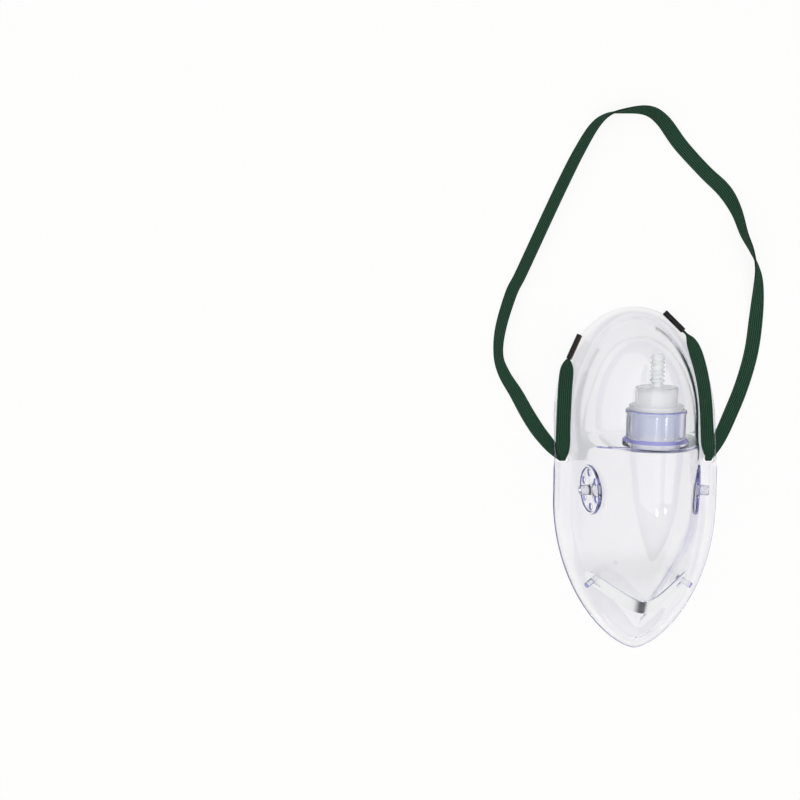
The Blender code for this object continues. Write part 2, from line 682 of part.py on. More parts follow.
def strap_rows():
    """All control rows in order, each with the plan angle of its width. Along
    the loop the width lies square to the way it runs; in the tails and the
    holes it lies across the mask."""
    loop = np.array(LOOP)
    heading = np.gradient(loop[:, :2], axis=0)
    aim = np.unwrap(np.arctan2(heading[:, 1], heading[:, 0])) - 0.5 * math.pi
    aim[0] = 0.5 * aim[1]
    aim[-1] = 0.5 * (aim[-2] - math.pi)
    left = np.column_stack([np.array(LEFT_TAIL), np.zeros(len(LEFT_TAIL))])
    right = np.column_stack([np.array(RIGHT_TAIL), np.full(len(RIGHT_TAIL), -math.pi)])
    return np.concatenate([left, np.column_stack([loop, aim]), right])


def smooth_rows(rows, steps):
    """A Catmull-Rom curve through the rows, with a few steps between each two."""
    padded = np.concatenate([2 * rows[:1] - rows[1:2], rows, 2 * rows[-1:] - rows[-2:-1]])
    before, start, end, after = padded[:-3], padded[1:-2], padded[2:-1], padded[3:]
    u = (np.arange(steps) / steps)[None, :, None]
    before, start, end, after = (r[:, None, :] for r in (before, start, end, after))
    curve = 0.5 * (2 * start + (end - before) * u
                   + (2 * before - 5 * start + 4 * end - after) * u ** 2
                   + (3 * start - before - 3 * end + after) * u ** 3)
    return np.concatenate([curve.reshape(-1, rows.shape[1]), rows[-1:]])


def strap_sections():
    """Centre, width vector and thickness vector of each section."""
    rows = smooth_rows(strap_rows(), STRAP_STEPS)
    centre = rows[:, :3]
    along = np.gradient(centre, axis=0)
    along /= np.linalg.norm(along, axis=1, keepdims=True)
    aim = rows[:, 5]
    flat = np.stack([np.cos(aim), np.sin(aim), 0 * aim], axis=-1)
    flat -= along * np.sum(flat * along, axis=1, keepdims=True)
    flat /= np.linalg.norm(flat, axis=1, keepdims=True)
    lift = np.cross(along, flat)
    roll = np.radians(rows[:, 3])[:, None]
    wide = np.cos(roll) * flat + np.sin(roll) * lift
    thick = np.cross(along, wide)
    return centre, wide * 0.5 * rows[:, 4:5], thick * 0.5 * STRAP_THICK, along


def make_strap(material, tip_material):
    """One flat elastic, lofted from tail to tail, and its two metal tips."""
    centre, wide, thick, along = strap_sections()
    corners = [centre + a * wide + b * thick for a, b in ((-1, -1), (1, -1), (1, 1), (-1, 1))]
    loop = np.stack(corners + [corners[0]], axis=1)
    mesh = grid_mesh("elastic_strap", loop)
    work = bmesh.new()
    work.from_mesh(mesh)
    bmesh.ops.remove_doubles(work, verts=work.verts, dist=0.000001)
    bmesh.ops.holes_fill(work, edges=work.edges, sides=4)
    bmesh.ops.recalc_face_normals(work, faces=work.faces)
    work.to_mesh(mesh)
    work.free()
    new_object("elastic_strap", mesh, parts, material)

    profile = [(0, 0), (TIP_R, 0), (TIP_R, TIP_LENGTH), (TIP_BORE_R, TIP_LENGTH),
               (TIP_BORE_R, TIP_LENGTH - TIP_BORE), (0, TIP_LENGTH - TIP_BORE)]
    for name, end, inward in (("strap_tip_left", 0, 1), ("strap_tip_right", -1, -1)):
        direction = Vector(along[end]) * inward
        start = Vector(centre[end]) + direction * (TIP_BORE - GAP - TIP_LENGTH)
        tip = new_object(name, turned_mesh(name, profile, 14), parts, tip_material)
        tip.matrix_world = frame_at(start, direction, (0, 0, 1))


def shade(part, angle):
    part.data.shade_smooth()
    part.data.set_sharp_from_angle(angle=angle)


for item in list(bpy.data.objects):
    bpy.data.objects.remove(item, do_unlink=True)

parts = bpy.data.collections.new("oxygen_face_mask")
cutters = bpy.data.collections.new("cutters")
bpy.context.scene.collection.children.link(parts)
bpy.context.scene.collection.children.link(cutters)

clear_pvc = new_material("clear_pvc", (0.86, 0.86, 0.93), 0.08, transmission=0.9)
frosted_pp = new_material("translucent_polypropylene", (0.80, 0.82, 0.83), 0.30, transmission=0.5)
aluminium = new_material("aluminium_strip", (0.80, 0.80, 0.78), 0.30, metallic=1.0)
elastic = new_material("green_elastic", (0.012, 0.052, 0.030), 0.85)
crimped_steel = new_material("crimped_steel", (0.18, 0.16, 0.15), 0.30, metallic=1.0)

face_shell = make_shell(clear_pvc)
add_socket(face_shell)
for disc_side in (-1, 1):
    add_exhalation_disc(face_shell, disc_side)
peg_places = make_clip(aluminium)
add_pegs(face_shell, peg_places)
add_strap_holes(face_shell)
make_connector(frosted_pp)
make_strap(elastic, crimped_steel)
for piece in parts.objects:
    shade(piece, math.radians(40))
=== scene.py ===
"""The looks of a clear oxygen face mask with its connector, nose clip and elastic.

Metres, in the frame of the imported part: +Z up, away from the face, +Y from the nose
end of the rim to its chin end, and x = 0 is the mask's plane of symmetry.
"""

import json
import math

import bmesh
import bpy
import numpy as np
from mathutils import Matrix, Vector

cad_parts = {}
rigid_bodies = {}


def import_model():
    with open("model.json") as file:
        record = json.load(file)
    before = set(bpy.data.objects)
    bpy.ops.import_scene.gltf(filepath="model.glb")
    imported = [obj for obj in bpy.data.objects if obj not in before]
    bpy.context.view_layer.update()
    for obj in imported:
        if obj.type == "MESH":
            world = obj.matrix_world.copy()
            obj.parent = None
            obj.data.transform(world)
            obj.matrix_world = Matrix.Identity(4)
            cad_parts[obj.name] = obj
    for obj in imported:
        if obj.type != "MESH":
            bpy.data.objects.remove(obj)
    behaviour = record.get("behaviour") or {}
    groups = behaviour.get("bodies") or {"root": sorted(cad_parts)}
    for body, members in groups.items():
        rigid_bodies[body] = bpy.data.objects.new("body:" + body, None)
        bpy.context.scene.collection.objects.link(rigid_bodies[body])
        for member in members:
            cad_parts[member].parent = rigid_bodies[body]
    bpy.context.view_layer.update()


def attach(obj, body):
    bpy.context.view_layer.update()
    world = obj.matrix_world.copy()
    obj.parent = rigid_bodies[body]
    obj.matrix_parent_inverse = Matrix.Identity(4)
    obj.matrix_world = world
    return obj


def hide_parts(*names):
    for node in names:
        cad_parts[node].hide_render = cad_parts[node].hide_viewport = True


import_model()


# The studio table
# A sheet of white paper, lit by a broad softbox on the left, a smaller one on the right
# and two small lamps past the nose end. The dim room gives clear plastic its edges.
CAMERA_AT = (-0.1053, 0.1107, 0.510)
CAMERA_VIEW = math.radians(38.9)
PAPER_SIZE = 6.0
PAPER_GLOW = 0.88
PAPER_BEHIND = 0.50


def linear(hex_colour):
    """An sRGB colour such as "aabbcc" as linear RGB with an alpha of 1."""
    srgb = [int(hex_colour[k:k + 2], 16) / 255 for k in (0, 2, 4)]
    return [c / 12.92 if c <= 0.04045 else ((c + 0.055) / 1.055) ** 2.4 for c in srgb] + [1.0]


def add_node(tree, kind, values=(), links=(), **settings):
    """A new shader node of a kind, with its input values, its own settings, and links from
    sockets or from the first outputs of nodes."""
    new = tree.nodes.new("ShaderNode" + kind)
    for key, value in settings.items():
        setattr(new, key, value)
    for key, value in dict(values).items():
        new.inputs[key].default_value = value
    for key, source in dict(links).items():
        source = source.outputs[0] if isinstance(source, bpy.types.Node) else source
        tree.links.new(source, new.inputs[key])
    return new


def empty_tree(owner):
    """The node tree of a material or a world, with no nodes in it."""
    owner.use_nodes = True
    owner.node_tree.nodes.clear()
    return owner.node_tree


def new_object(name, data, collection=None):
    """An object with its data, in a collection or else in the scene."""
    made = bpy.data.objects.new(name, data)
    (collection or bpy.context.scene.collection).objects.link(made)
    return made


# White card: matt, and bright to the eye as in a cut-out picture, with a faint shadow.
# Mirrors and clear plastic show it too, less bright, as the table really was.
white_card = bpy.data.materials.new("white_card")
tree = empty_tree(white_card)
path = add_node(tree, "LightPath")
behind = add_node(tree, "Math", operation="MAXIMUM", links={
    0: path.outputs["Is Glossy Ray"], 1: path.outputs["Is Transmission Ray"]})
to_eye = add_node(tree, "Math", {1: PAPER_GLOW}, {0: path.outputs["Is Camera Ray"]},
                  operation="MULTIPLY")
share = add_node(tree, "Math", {1: PAPER_BEHIND}, {0: behind, 2: to_eye},
                 operation="MULTIPLY_ADD")
paper = add_node(tree, "BsdfDiffuse", {"Color": linear("f6f4ee")})
glow = add_node(tree, "Emission", {"Color": linear("ffffff"), "Strength": 1.0})
mixed = add_node(tree, "MixShader", links={0: share, 1: paper, 2: glow})
add_node(tree, "OutputMaterial", links={"Surface": mixed})

floor_mesh = bpy.data.meshes.new("table_top")
half_sheet = 0.5 * PAPER_SIZE
floor_mesh.from_pydata([(-half_sheet, -half_sheet, 0), (half_sheet, -half_sheet, 0),
                        (half_sheet, half_sheet, 0), (-half_sheet, half_sheet, 0)],
                       [], [(0, 1, 2, 3)])
floor_mesh.materials.append(white_card)
table_top = new_object("table_top", floor_mesh)

# The room: a pale ceiling over grey-violet walls, which clear plastic shows at its edges.
# Someone in dark clothes stands past the nose end, and bent metal mirrors them.
room = bpy.data.worlds.new("dim_studio")
bpy.context.scene.world = room
tree = empty_tree(room)
path = add_node(tree, "LightPath")
way = add_node(tree, "TexCoord")
turned = add_node(tree, "SeparateXYZ", links={0: way.outputs["Generated"]})
walls = add_node(tree, "ValToRGB", links={"Fac": turned.outputs["Z"]})
levels = walls.color_ramp.elements
levels[0].color, levels[1].color = linear("8484ba"), linear("ffffff")
for height, colour in ((0.14, "8e8ebc"), (0.34, "a6a6b2"), (0.65, "b8b8ba"), (0.88, "bebebe")):
    levels.new(height).color = linear(colour)
below_head = add_node(tree, "MapRange", {1: 0.10, 2: 0.26, 3: 1.0, 4: 0.0},
                      {0: turned.outputs["Z"]})
between_arms = add_node(tree, "MapRange", {1: -0.55, 2: -0.72, 3: 0.0, 4: 1.0},
                        {0: turned.outputs["Y"]})
stands_there = add_node(tree, "Math", links={0: below_head, 1: between_arms},
                        operation="MULTIPLY")
dark_clothes = add_node(tree, "Mix", {"B": linear("303031")},
                        {"Factor": stands_there, "A": walls}, data_type="RGBA")
dim = add_node(tree, "Background", links={"Color": dark_clothes.outputs["Result"]})
bright = add_node(tree, "Background", {"Color": linear("ffffff"), "Strength": 1.0})
mixed = add_node(tree, "MixShader", links={0: path.outputs["Is Camera Ray"], 1: dim, 2: bright})
add_node(tree, "OutputWorld", links={"Surface": mixed})


def add_softbox(name, at, aim, size, power):
    """A square area lamp at a point, facing another point."""
    lamp = bpy.data.lights.new(name, "AREA")
    lamp.size = size
    lamp.energy = power
    holder = new_object(name, lamp)
    holder.location = at
    holder.rotation_euler = (Vector(aim) - Vector(at)).to_track_quat("-Z", "Y").to_euler()


add_softbox("broad_softbox", (-0.55, 0.25, 0.95), (0.0, 0.10, 0.0), 1.90, 7.0)
add_softbox("right_softbox", (0.75, 0.10, 0.85), (0.0, 0.10, 0.0), 0.80, 2.0)
add_softbox("left_lamp", (-0.14, -0.50, 0.92), (0.0, 0.08, 0.04), 0.16, 1.2)
add_softbox("right_lamp", (0.64, -0.50, 0.92), (0.0, 0.08, 0.04), 0.16, 1.2)

camera_data = bpy.data.cameras.new("camera")
camera_data.angle = CAMERA_VIEW
camera_data.clip_start = 0.01
camera = new_object("camera", camera_data)
camera.location = CAMERA_AT
bpy.context.scene.camera = camera
bpy.context.scene.view_settings.view_transform = "Standard"


# The shell
# One injection moulding of soft clear PVC: a flanged rim, a nose cone, a chin dome, the
# socket for the connector, two exhalation discs, two clip pegs and two strap holes.

# Rim and crease, seen from above
HALF_WIDTH = 0.0360
NOSE_RUN = 0.0660
SIDE_RUN = 0.0365
CHIN_RUN = 0.0500
NOSE_POINT = 1.3
FLANGE_SIDE = 0.0080
FLANGE_NOSE = 0.0042
FLANGE_CHIN = 0.0046
SIDE_START = NOSE_RUN
SIDE_END = NOSE_RUN + SIDE_RUN
LENGTH = NOSE_RUN + SIDE_RUN + CHIN_RUN

# Wall, cone, shelf and dome
WALL = 0.0010
RIM_TOP = 0.0008
FLAT_SHARE = 0.3
FLARE_POWER = 1.5
CREASE_Z = 0.0040
DOME_Z = 0.0285
RIDGE_SLOPE = 0.96
ROOF_SLOPE = 0.09
RIDGE_BEND_Y = 0.0560
RIDGE_BEND_SOFT = 0.0140
RIDGE_START = 0.0170
RIDGE_END = 0.1240
FLANK_SHARE = 0.81
FLANK_RISE = 0.40
ARCH_START = 0.0130
ARCH_BASE = 0.0014
ARCH_GROWTH = 0.19
ARCH_OPENS = 0.21
SHELF_TOP = 0.0905
SHELF_FOOT = 0.0970
SHELF_SOFT = 0.0005
DOME_HALF = 0.0230
DOME_CHIN = 0.1375
DOME_PULL = (0.85, 0.55)

# Where the flange lifts over the strap, thickens behind it and curls up before it
LIFT = 0.0024
LIFT_Y = 0.0850
LIFT_REACH = 0.0300
TAB_Y = 0.0815
TAB_SLANT = 0.20
TAB_RISE = 0.00018
TAB_SOFT = 0.00035
CURL_SHARE = 0.28
CURL_RISE = 0.10
CURL_END_Y = 0.0790
CURL_FADE = 0.0060

# Columns up the skin, and how far and how often its bends are rounded
FLANGE_COLUMNS = 20
WALL_COLUMNS = 64
EDGE_STEPS = 12
CREASE_REACH = 8
CREASE_PASSES = 10
KEEL_ROWS = 20
KEEL_FADE = 14
KEEL_PASSES = 110


def plan_line(t, half_width, nose_start, chin_end):
    """A line round half the mask from above. t 0 to 1 is the nose, a pointed quarter
    ellipse; 1 to 2 the straight side; 2 to 3 the chin, a plain quarter ellipse."""
    nose = 0.5 * math.pi * np.clip(t, 0, 1)
    chin = 0.5 * math.pi * np.clip(t - 2, 0, 1)
    side = np.clip(t - 1, 0, 1)
    x = half_width * np.sin(nose) ** NOSE_POINT * np.cos(chin)
    y = nose_start + (SIDE_START - nose_start) * (1 - np.cos(nose))
    y = y + SIDE_RUN * side + (chin_end - SIDE_END) * np.sin(chin)
    return x, y


def soft_bend(distance, soft):
    """0 before a bend and the distance past it after, with a parabola between."""
    near = np.clip(distance + soft, 0, 2 * soft)
    return near ** 2 / (4 * soft) + np.maximum(distance - soft, 0)


def ridge_height(y):
    """Height of the nose ridge: a straight slope that bends over to a near level roof."""
    bend = soft_bend(y - RIDGE_BEND_Y, RIDGE_BEND_SOFT)
    return CREASE_Z + RIDGE_SLOPE * (y - FLANGE_NOSE) - (RIDGE_SLOPE - ROOF_SLOPE) * bend


def cubic_line(start, first, second, end, v):
    """A cubic Bezier; v is 0 at its start and 1 at its end."""
    v = v[..., None]
    outer = (1 - v) ** 3 * start + 3 * v * (1 - v) ** 2 * first
    return outer + 3 * v ** 2 * (1 - v) * second + v ** 3 * end


def shelf_step(y):
    """0 on the cone and 1 on the dome: a ramp made of two soft-plus curves."""
    top = np.logaddexp(0, (y - SHELF_TOP) / SHELF_SOFT)
    foot = np.logaddexp(0, (y - SHELF_FOOT) / SHELF_SOFT)
    return (top - foot) * SHELF_SOFT / (SHELF_FOOT - SHELF_TOP)


def crease_line(t):
    """The foot of the wall, where it meets the flange."""
    x, y = plan_line(t, HALF_WIDTH - FLANGE_SIDE, FLANGE_NOSE, LENGTH - FLANGE_CHIN)
    return np.stack([x, y, np.full_like(x, CREASE_Z)], axis=-1)


def cone_point(t, v):
    """The nose cone: a cubic Bezier from the crease up a flank, which is steeper where the
    cone is high, and over a round arch, which widens with the distance from the tip."""
    start = crease_line(t)
    along = np.clip((start[..., 1] - FLANGE_NOSE) / (SIDE_START - FLANGE_NOSE), 0, 1)
    behind = np.maximum(start[..., 1] - SIDE_START, 0)
    ridge_y = RIDGE_START + along * (SIDE_START - RIDGE_START) + behind
    arch_y = ARCH_START + along * (SIDE_START - ARCH_START) + behind
    opening = np.sin(0.5 * math.pi * np.clip(t / ARCH_OPENS, 0, 1))
    top = ridge_height(ridge_y)
    share = FLANK_SHARE * (top - CREASE_Z) / (ridge_height(SHELF_TOP) - CREASE_Z)
    lean = FLANK_RISE + (1 - FLANK_RISE) * opening
    flank = np.stack([share * start[..., 0], start[..., 1] + lean * (ridge_y - start[..., 1]),
                      CREASE_Z + FLANK_RISE * (top - CREASE_Z)], axis=-1)
    arch_x = (ARCH_BASE + ARCH_GROWTH * arch_y) * opening
    arch = np.stack([arch_x, arch_y, ridge_height(arch_y)], axis=-1)
    ridge = np.stack([0 * ridge_y, ridge_y, top], axis=-1)
    return cubic_line(start, flank, arch, ridge, v)


def dome_point(t, v):
    """The chin dome: a cubic Bezier from the crease over a round shoulder to a flat top."""
    start = crease_line(t)
    corner_x, corner_y = plan_line(t, DOME_HALF, FLANGE_NOSE, DOME_CHIN)
    corner_y = np.where(t < 2, start[..., 1], corner_y)
    chin = np.clip((start[..., 1] - SIDE_END) / (LENGTH - FLANGE_CHIN - SIDE_END), 0, 1)
    top_y = np.where(t < 2, start[..., 1], SIDE_END + chin * (RIDGE_END - SIDE_END))
    height = np.full_like(corner_x, DOME_Z)
    corner = np.stack([corner_x, corner_y, height], axis=-1)
    ridge = np.stack([0 * top_y, top_y, height], axis=-1)
    first = start + DOME_PULL[0] * (corner - start)
    second = ridge + DOME_PULL[1] * (corner - ridge)
    return cubic_line(start, first, second, ridge, v)


def wall_point(t, v):
    """The outer wall: v goes 0 to 1 from the crease to the ridge, and the shelf blends the
    cone's line into the dome's."""
    t, v = np.broadcast_arrays(np.asarray(t, float), np.asarray(v, float))
    share = shelf_step(crease_line(t)[..., 1])[..., None]
    return (1 - share) * cone_point(t, v) + share * dome_point(t, v)


def ramp(x):
    """0 below 0 and 1 above 1, with a smooth cubic between."""
    x = np.clip(x, 0, 1)
    return x * x * (3 - 2 * x)


def flange_point(t, f):
    """The flange's upper side: f goes 0 to 1 from rim to crease. It is flat at the rim and
    flares up to the crease by a power curve. It lifts over the strap as a cosine, and is
    a little thicker behind a slanted step, where the strap pulls on it. Before the strap
    its edge curls up as a parabola, in proportion to the flange's width."""
    t, f = np.broadcast_arrays(np.asarray(t, float), np.asarray(f, float))
    rim_x, rim_y = plan_line(t, HALF_WIDTH, 0, LENGTH)
    crease = crease_line(t)
    x = rim_x + f * (crease[..., 0] - rim_x)
    y = rim_y + f * (crease[..., 1] - rim_y)
    flare = np.clip((f - FLAT_SHARE) / (1 - FLAT_SHARE), 0, 1) ** FLARE_POWER
    reach = np.clip((y - LIFT_Y) / LIFT_REACH, -1, 1)
    lift = LIFT * np.cos(0.5 * math.pi * reach) ** 2 * (1 - f ** 2)
    past = (y - TAB_Y + TAB_SLANT * (HALF_WIDTH - x)) / TAB_SOFT
    tab = TAB_RISE / (1 + np.exp(-np.clip(past, -30, 30))) * (1 - f ** 4)
    tab = tab * np.clip((LENGTH - y) / (LENGTH - TAB_Y), 0, 1) ** 4
    width = np.hypot(crease[..., 0] - rim_x, crease[..., 1] - rim_y)
    curl = CURL_RISE * width * np.clip(1 - f / CURL_SHARE, 0, 1) ** 2
    curl = curl * (1 - ramp((y - CURL_END_Y) / CURL_FADE))
    z = RIM_TOP + (CREASE_Z - RIM_TOP) * flare + lift + tab + curl
    return np.stack([x, y, z], axis=-1)


def unit(vectors):
    """Vectors made one long."""
    return vectors / np.maximum(np.linalg.norm(vectors, axis=-1, keepdims=True), 1e-12)


def surface_mesh(name, points, close_rows=False, close_columns=False):
    """A mesh through an array of points, rows by columns, which may close on itself
    either way. It faces the way that rows crossed with columns points."""
    index = np.arange(points.shape[0] * points.shape[1]).reshape(points.shape[:2])
    if close_rows:
        index = np.vstack([index, index[:1]])
    if close_columns:
        index = np.hstack([index, index[:, :1]])
    corners = (index[:-1, :-1], index[1:, :-1], index[1:, 1:], index[:-1, 1:])
    quads = np.stack(corners, axis=-1).reshape(-1, 4)
    mesh = bpy.data.meshes.new(name)
    mesh.from_pydata(points.reshape(-1, 3).tolist(), [], quads.tolist())
    return mesh


def sewn(mesh, distance=0.000002):
    """The same mesh with its doubles merged, its seams closed and its faces outward."""
    work = bmesh.new()
    work.from_mesh(mesh)
    bmesh.ops.remove_doubles(work, verts=work.verts, dist=distance)
    bmesh.ops.dissolve_degenerate(work, edges=work.edges, dist=0.1 * distance)
    bmesh.ops.recalc_face_normals(work, faces=work.faces)
    work.to_mesh(mesh)
    work.free()
    return mesh


def shell_stations():
    """t along half the rim: even round the nose and the chin, and closest at the shelf."""
    nose = np.linspace(0, 1, 72)
    before = np.linspace(SIDE_START + 0.0008, TAB_Y - 0.0032, 14)
    cone = np.concatenate([before, np.linspace(TAB_Y - 0.0028, SHELF_TOP - 0.0022, 26)])
    shelf = np.linspace(SHELF_TOP - 0.0018, SHELF_FOOT + 0.0018, 36)
    dome = np.linspace(SHELF_FOOT + 0.0023, SIDE_END, 7)
    side = 1 + (np.concatenate([cone, shelf, dome]) - SIDE_START) / SIDE_RUN
    chin = np.linspace(2, 3, 52)[1:]
    return np.concatenate([nose, side, chin])


def shell_half():
    """Half of the moulding as one closed skin: rows follow the rim, and columns go from
    the inner ridge down to the rim, round its edge and up outside to the ridge. The
    crease and the nose's keel are rounded by taking means of neighbours over and over,
    the keel with its mirrored rows. The inner skin is the outer one moved in by the wall
    along its normals, and the edge is cut nearly square."""
    t = shell_stations()[:, None]
    flange = flange_point(t, np.linspace(0, 1, FLANGE_COLUMNS + 1)[None, :-1])
    wall = wall_point(t, np.linspace(0, 1, WALL_COLUMNS)[None, :])
    outer = np.concatenate([flange, wall], axis=1)
    near = slice(FLANGE_COLUMNS - CREASE_REACH, FLANGE_COLUMNS + CREASE_REACH - 1)
    for _ in range(CREASE_PASSES):
        mean = 0.5 * outer[:, 1:-1] + 0.25 * (outer[:, :-2] + outer[:, 2:])
        outer[:, near] = mean[:, near.start - 1:near.stop - 1]
    fade = ramp((np.arange(outer.shape[1]) - FLANGE_COLUMNS) / KEEL_FADE)[None, :, None]
    for _ in range(KEEL_PASSES):
        rows = np.concatenate([outer[1:2] * np.array([-1, 1, 1]), outer[:KEEL_ROWS + 1]])
        mean = 0.5 * rows[1:-1] + 0.25 * (rows[:-2] + rows[2:])
        outer[:KEEL_ROWS] += fade * (mean - outer[:KEEL_ROWS])
    outer[[0, -1], :, 0] = 0
    outer[:, -1, 0] = 0
    around = np.gradient(outer, axis=0)
    across = np.gradient(outer, axis=1)
    around[0] = (1, 0, 0)
    around[-1] = (-1, 0, 0)
    across[1:-1, -1] = (-1, 0, 0)
    normal = unit(np.cross(around, across))
    inner = outer - WALL * normal
    inner[[0, -1], :, 0] = 0
    inner[:, -1, 0] = 0
    inner[..., 2] = np.maximum(inner[..., 2], 0)

    turn = np.linspace(0, math.pi, EDGE_STEPS + 1)[1:-1][None, :, None]
    bottom, top = inner[:, :1], outer[:, :1]
    outward = unit(np.cross(around[:, :1], np.array([0, 0, 1.0])))
    centre = 0.5 * (bottom + top)
    radius = 0.5 * np.linalg.norm(top - bottom, axis=-1, keepdims=True)
    level = np.sign(np.cos(turn)) * np.abs(np.cos(turn)) ** 0.5
    edge = centre + level * (bottom - centre) + 0.3 * radius * np.sin(turn) ** 0.5 * outward
    edge[[0, -1], :, 0] = 0
    return np.concatenate([inner[:, ::-1], edge, outer], axis=1)


half = shell_half()
joined = bmesh.new()
for skin in (half, half[::-1] * np.array([-1, 1, 1])):
    joined.from_mesh(surface_mesh("shell_half", skin))
shell_mesh = bpy.data.meshes.new("clear_shell")
joined.to_mesh(shell_mesh)
joined.free()
clear_shell = new_object("clear_shell", sewn(shell_mesh))

# Socket, exhalation discs, nose clip's line, pegs and strap holes
SOCKET_TILT = math.radians(8)
SOCKET_Z = 0.5 * (ridge_height(SHELF_TOP) + DOME_Z)
SOCKET_AT = Vector((0, 0.5 * (SHELF_TOP + SHELF_FOOT), SOCKET_Z))
SOCKET_R = 0.0120
SOCKET_BORE_R = 0.0102
SOCKET_LENGTH = 0.0132
SOCKET_LIP_R = 0.0135
SOCKET_SINK = 0.0016
DISC_Y = 0.0720
DISC_Z = 0.0207
DISC_R = 0.0108
DISC_LEAN = math.radians(4)
DISC_TOP = 0.0007
DISC_THICK = 0.0014
DISC_RING = 0.0012
DISC_RECESS = 0.0005
DISC_HOLES = 6
HOLE_R = 0.0016
HOLE_CIRCLE_R = 0.0074
STUB_R = 0.0022
STUB_LENGTH = 0.0046
CLIP_Y = 0.0226
CLIP_REACH = 0.0222
CLIP_SLOPE = math.radians(38.0)
CLIP_SHIFT = -0.0006
CLIP_FALL = 1.09
CLIP_NOSE = 0.0052
CLIP_LIFT = 0.0013
CLIP_THICK = 0.0007
SLOT_LENGTH = 0.0062
SLOT_WIDTH = 0.0032
SLOT_FROM_END = 0.0060
PEG_R = 0.0012
PEG_LENGTH = 0.0048
PEG_ROOT = 0.0027
STRAP_HOLE_X = 0.0326
STRAP_HOLE_Y = 0.0840
STRAP_HOLE_LONG = 0.0054
STRAP_HOLE_WIDE = 0.0028
FILLET = 0.0003

# A small turn that keeps a round cutter's corners off the edges that it cuts
CUTTER_TURN = 0.07


def round_corners(corners, steps=5):
    """A profile from corners (radius, height, fillet): at each corner with a fillet the
    two sides are joined by an arc that touches both."""
    corners = np.array(corners, float)
    points = []
    for number, (radius, height, fillet) in enumerate(corners):
        here = np.array([radius, height])
        if fillet == 0:
            points.append(here)
            continue
        before = unit(corners[number - 1, :2] - here)
        after = unit(corners[(number + 1) % len(corners), :2] - here)
        half_angle = 0.5 * math.acos(np.clip(before @ after, -1, 1))
        middle = here + unit(before + after) * fillet / math.sin(half_angle)
        start = here + before * fillet / math.tan(half_angle) - middle
        end = here + after * fillet / math.tan(half_angle) - middle
        for share in np.linspace(0, 1, steps):
            points.append(middle + unit((1 - share) * start + share * end) * fillet)
    return np.array(points)


def turned_mesh(name, profile, steps=64, turn=0.0):
    """A profile of (radius, height) points turned round Z. One that starts and ends on
    the axis is left open there, and any other is closed on itself."""
    angle = turn + np.linspace(0, 2 * math.pi, steps, endpoint=False)[:, None]
    radius, height = np.asarray(profile).T
    points = np.stack([radius * np.cos(angle), radius * np.sin(angle),
                       height + 0 * angle], axis=-1)
    on_axis = radius[0] == 0 and radius[-1] == 0
    return sewn(surface_mesh(name, points, close_rows=True, close_columns=not on_axis))


def flared_cutter(name, radius, low, high, flare, reach=0.003, steps=24):
    """A round cutter that opens out beyond its two ends, so the hole's edges are soft."""
    arc = np.linspace(0, 0.5 * math.pi, 5)
    opened = radius + flare * (1 - np.cos(arc))
    down = low + flare - flare * np.sin(arc)
    up = high - flare + flare * np.sin(arc)
    profile = [(0, low - reach), (opened[-1], low - reach)]
    profile += list(zip(opened[::-1], down[::-1])) + list(zip(opened, up))
    profile += [(opened[-1], high + reach), (0, high + reach)]
    return turned_mesh(name, profile, steps, CUTTER_TURN)


def slot_points(length, width, steps=12):
    """A long round-ended outline: two half circles joined by straight sides."""
    turn = np.linspace(-0.5 * math.pi, 0.5 * math.pi, steps)
    reach = 0.5 * (length - width)
    right = np.stack([reach + 0.5 * width * np.cos(turn), 0.5 * width * np.sin(turn)], axis=-1)
    return np.concatenate([right, -right])


def slot_cutter(name, length, width, low, high, grow=0.0):
    """A round-ended bar along Z, which may widen by grow at both of its ends."""
    outline = slot_points(length, width)
    wide = slot_points(length + 2 * grow, width + 2 * grow)
    levels = [(wide, low), (outline, low + grow), (outline, high - grow), (wide, high)]
    rings = [np.column_stack([ring, np.full(len(ring), z)]) for ring, z in levels]
    middle = [np.array([[0, 0, z]]).repeat(len(outline), axis=0) for z in (low, high)]
    points = np.stack([middle[0]] + rings + [middle[1]])
    return sewn(surface_mesh(name, points, close_columns=True))


def frame_at(point, outward, along):
    """A matrix at a point whose Z is outward and whose X lies near along."""
    z_axis = Vector(outward).normalized()
    x_axis = (Vector(along) - z_axis * z_axis.dot(Vector(along))).normalized()
    turn = Matrix((x_axis, z_axis.cross(x_axis), z_axis)).transposed()
    return Matrix.Translation(Vector(point)) @ turn.to_4x4()


def wall_normal(t, v):
    """The wall's outward normal, from two short steps on its surface."""
    step = 0.001
    across = wall_point(t, v + step) - wall_point(t, v - step)
    around = wall_point(t + step, v) - wall_point(t - step, v)
    return unit(np.cross(around, across))


def wall_spot(y, z):
    """The wall's point and normal on the right side, at a given y and z."""
    t = 1 + (y - SIDE_START) / SIDE_RUN
    v_line = np.linspace(0, 1, 400)
    v = np.interp(z, wall_point(t, v_line)[:, 2], v_line)
    return wall_point(t, v), wall_normal(t, v)


def clip_line():
    """The clip's inner face from its left end to its right, and its normals: a hyperbola,
    which is a V with a round nose, in a plane nearly square to the ridge."""
    up = np.array([0, -math.sin(CLIP_SLOPE), math.cos(CLIP_SLOPE)])
    x = np.linspace(-CLIP_REACH, CLIP_REACH, 601)
    round_x = np.hypot(x, CLIP_NOSE)
    height = CLIP_LIFT - CLIP_FALL * (round_x - CLIP_NOSE)
    points = np.array([0, CLIP_Y, ridge_height(CLIP_Y)]) + height[:, None] * up
    points[:, 0] += x + CLIP_SHIFT
    normals = np.repeat(up[None, :], len(x), axis=0)
    normals[:, 0] += CLIP_FALL * x / round_x
    return points, unit(normals)


def line_length(points):
    """The distance along a line of points, from its start."""
    return np.concatenate([[0], np.cumsum(np.linalg.norm(np.diff(points, axis=0), axis=1))])


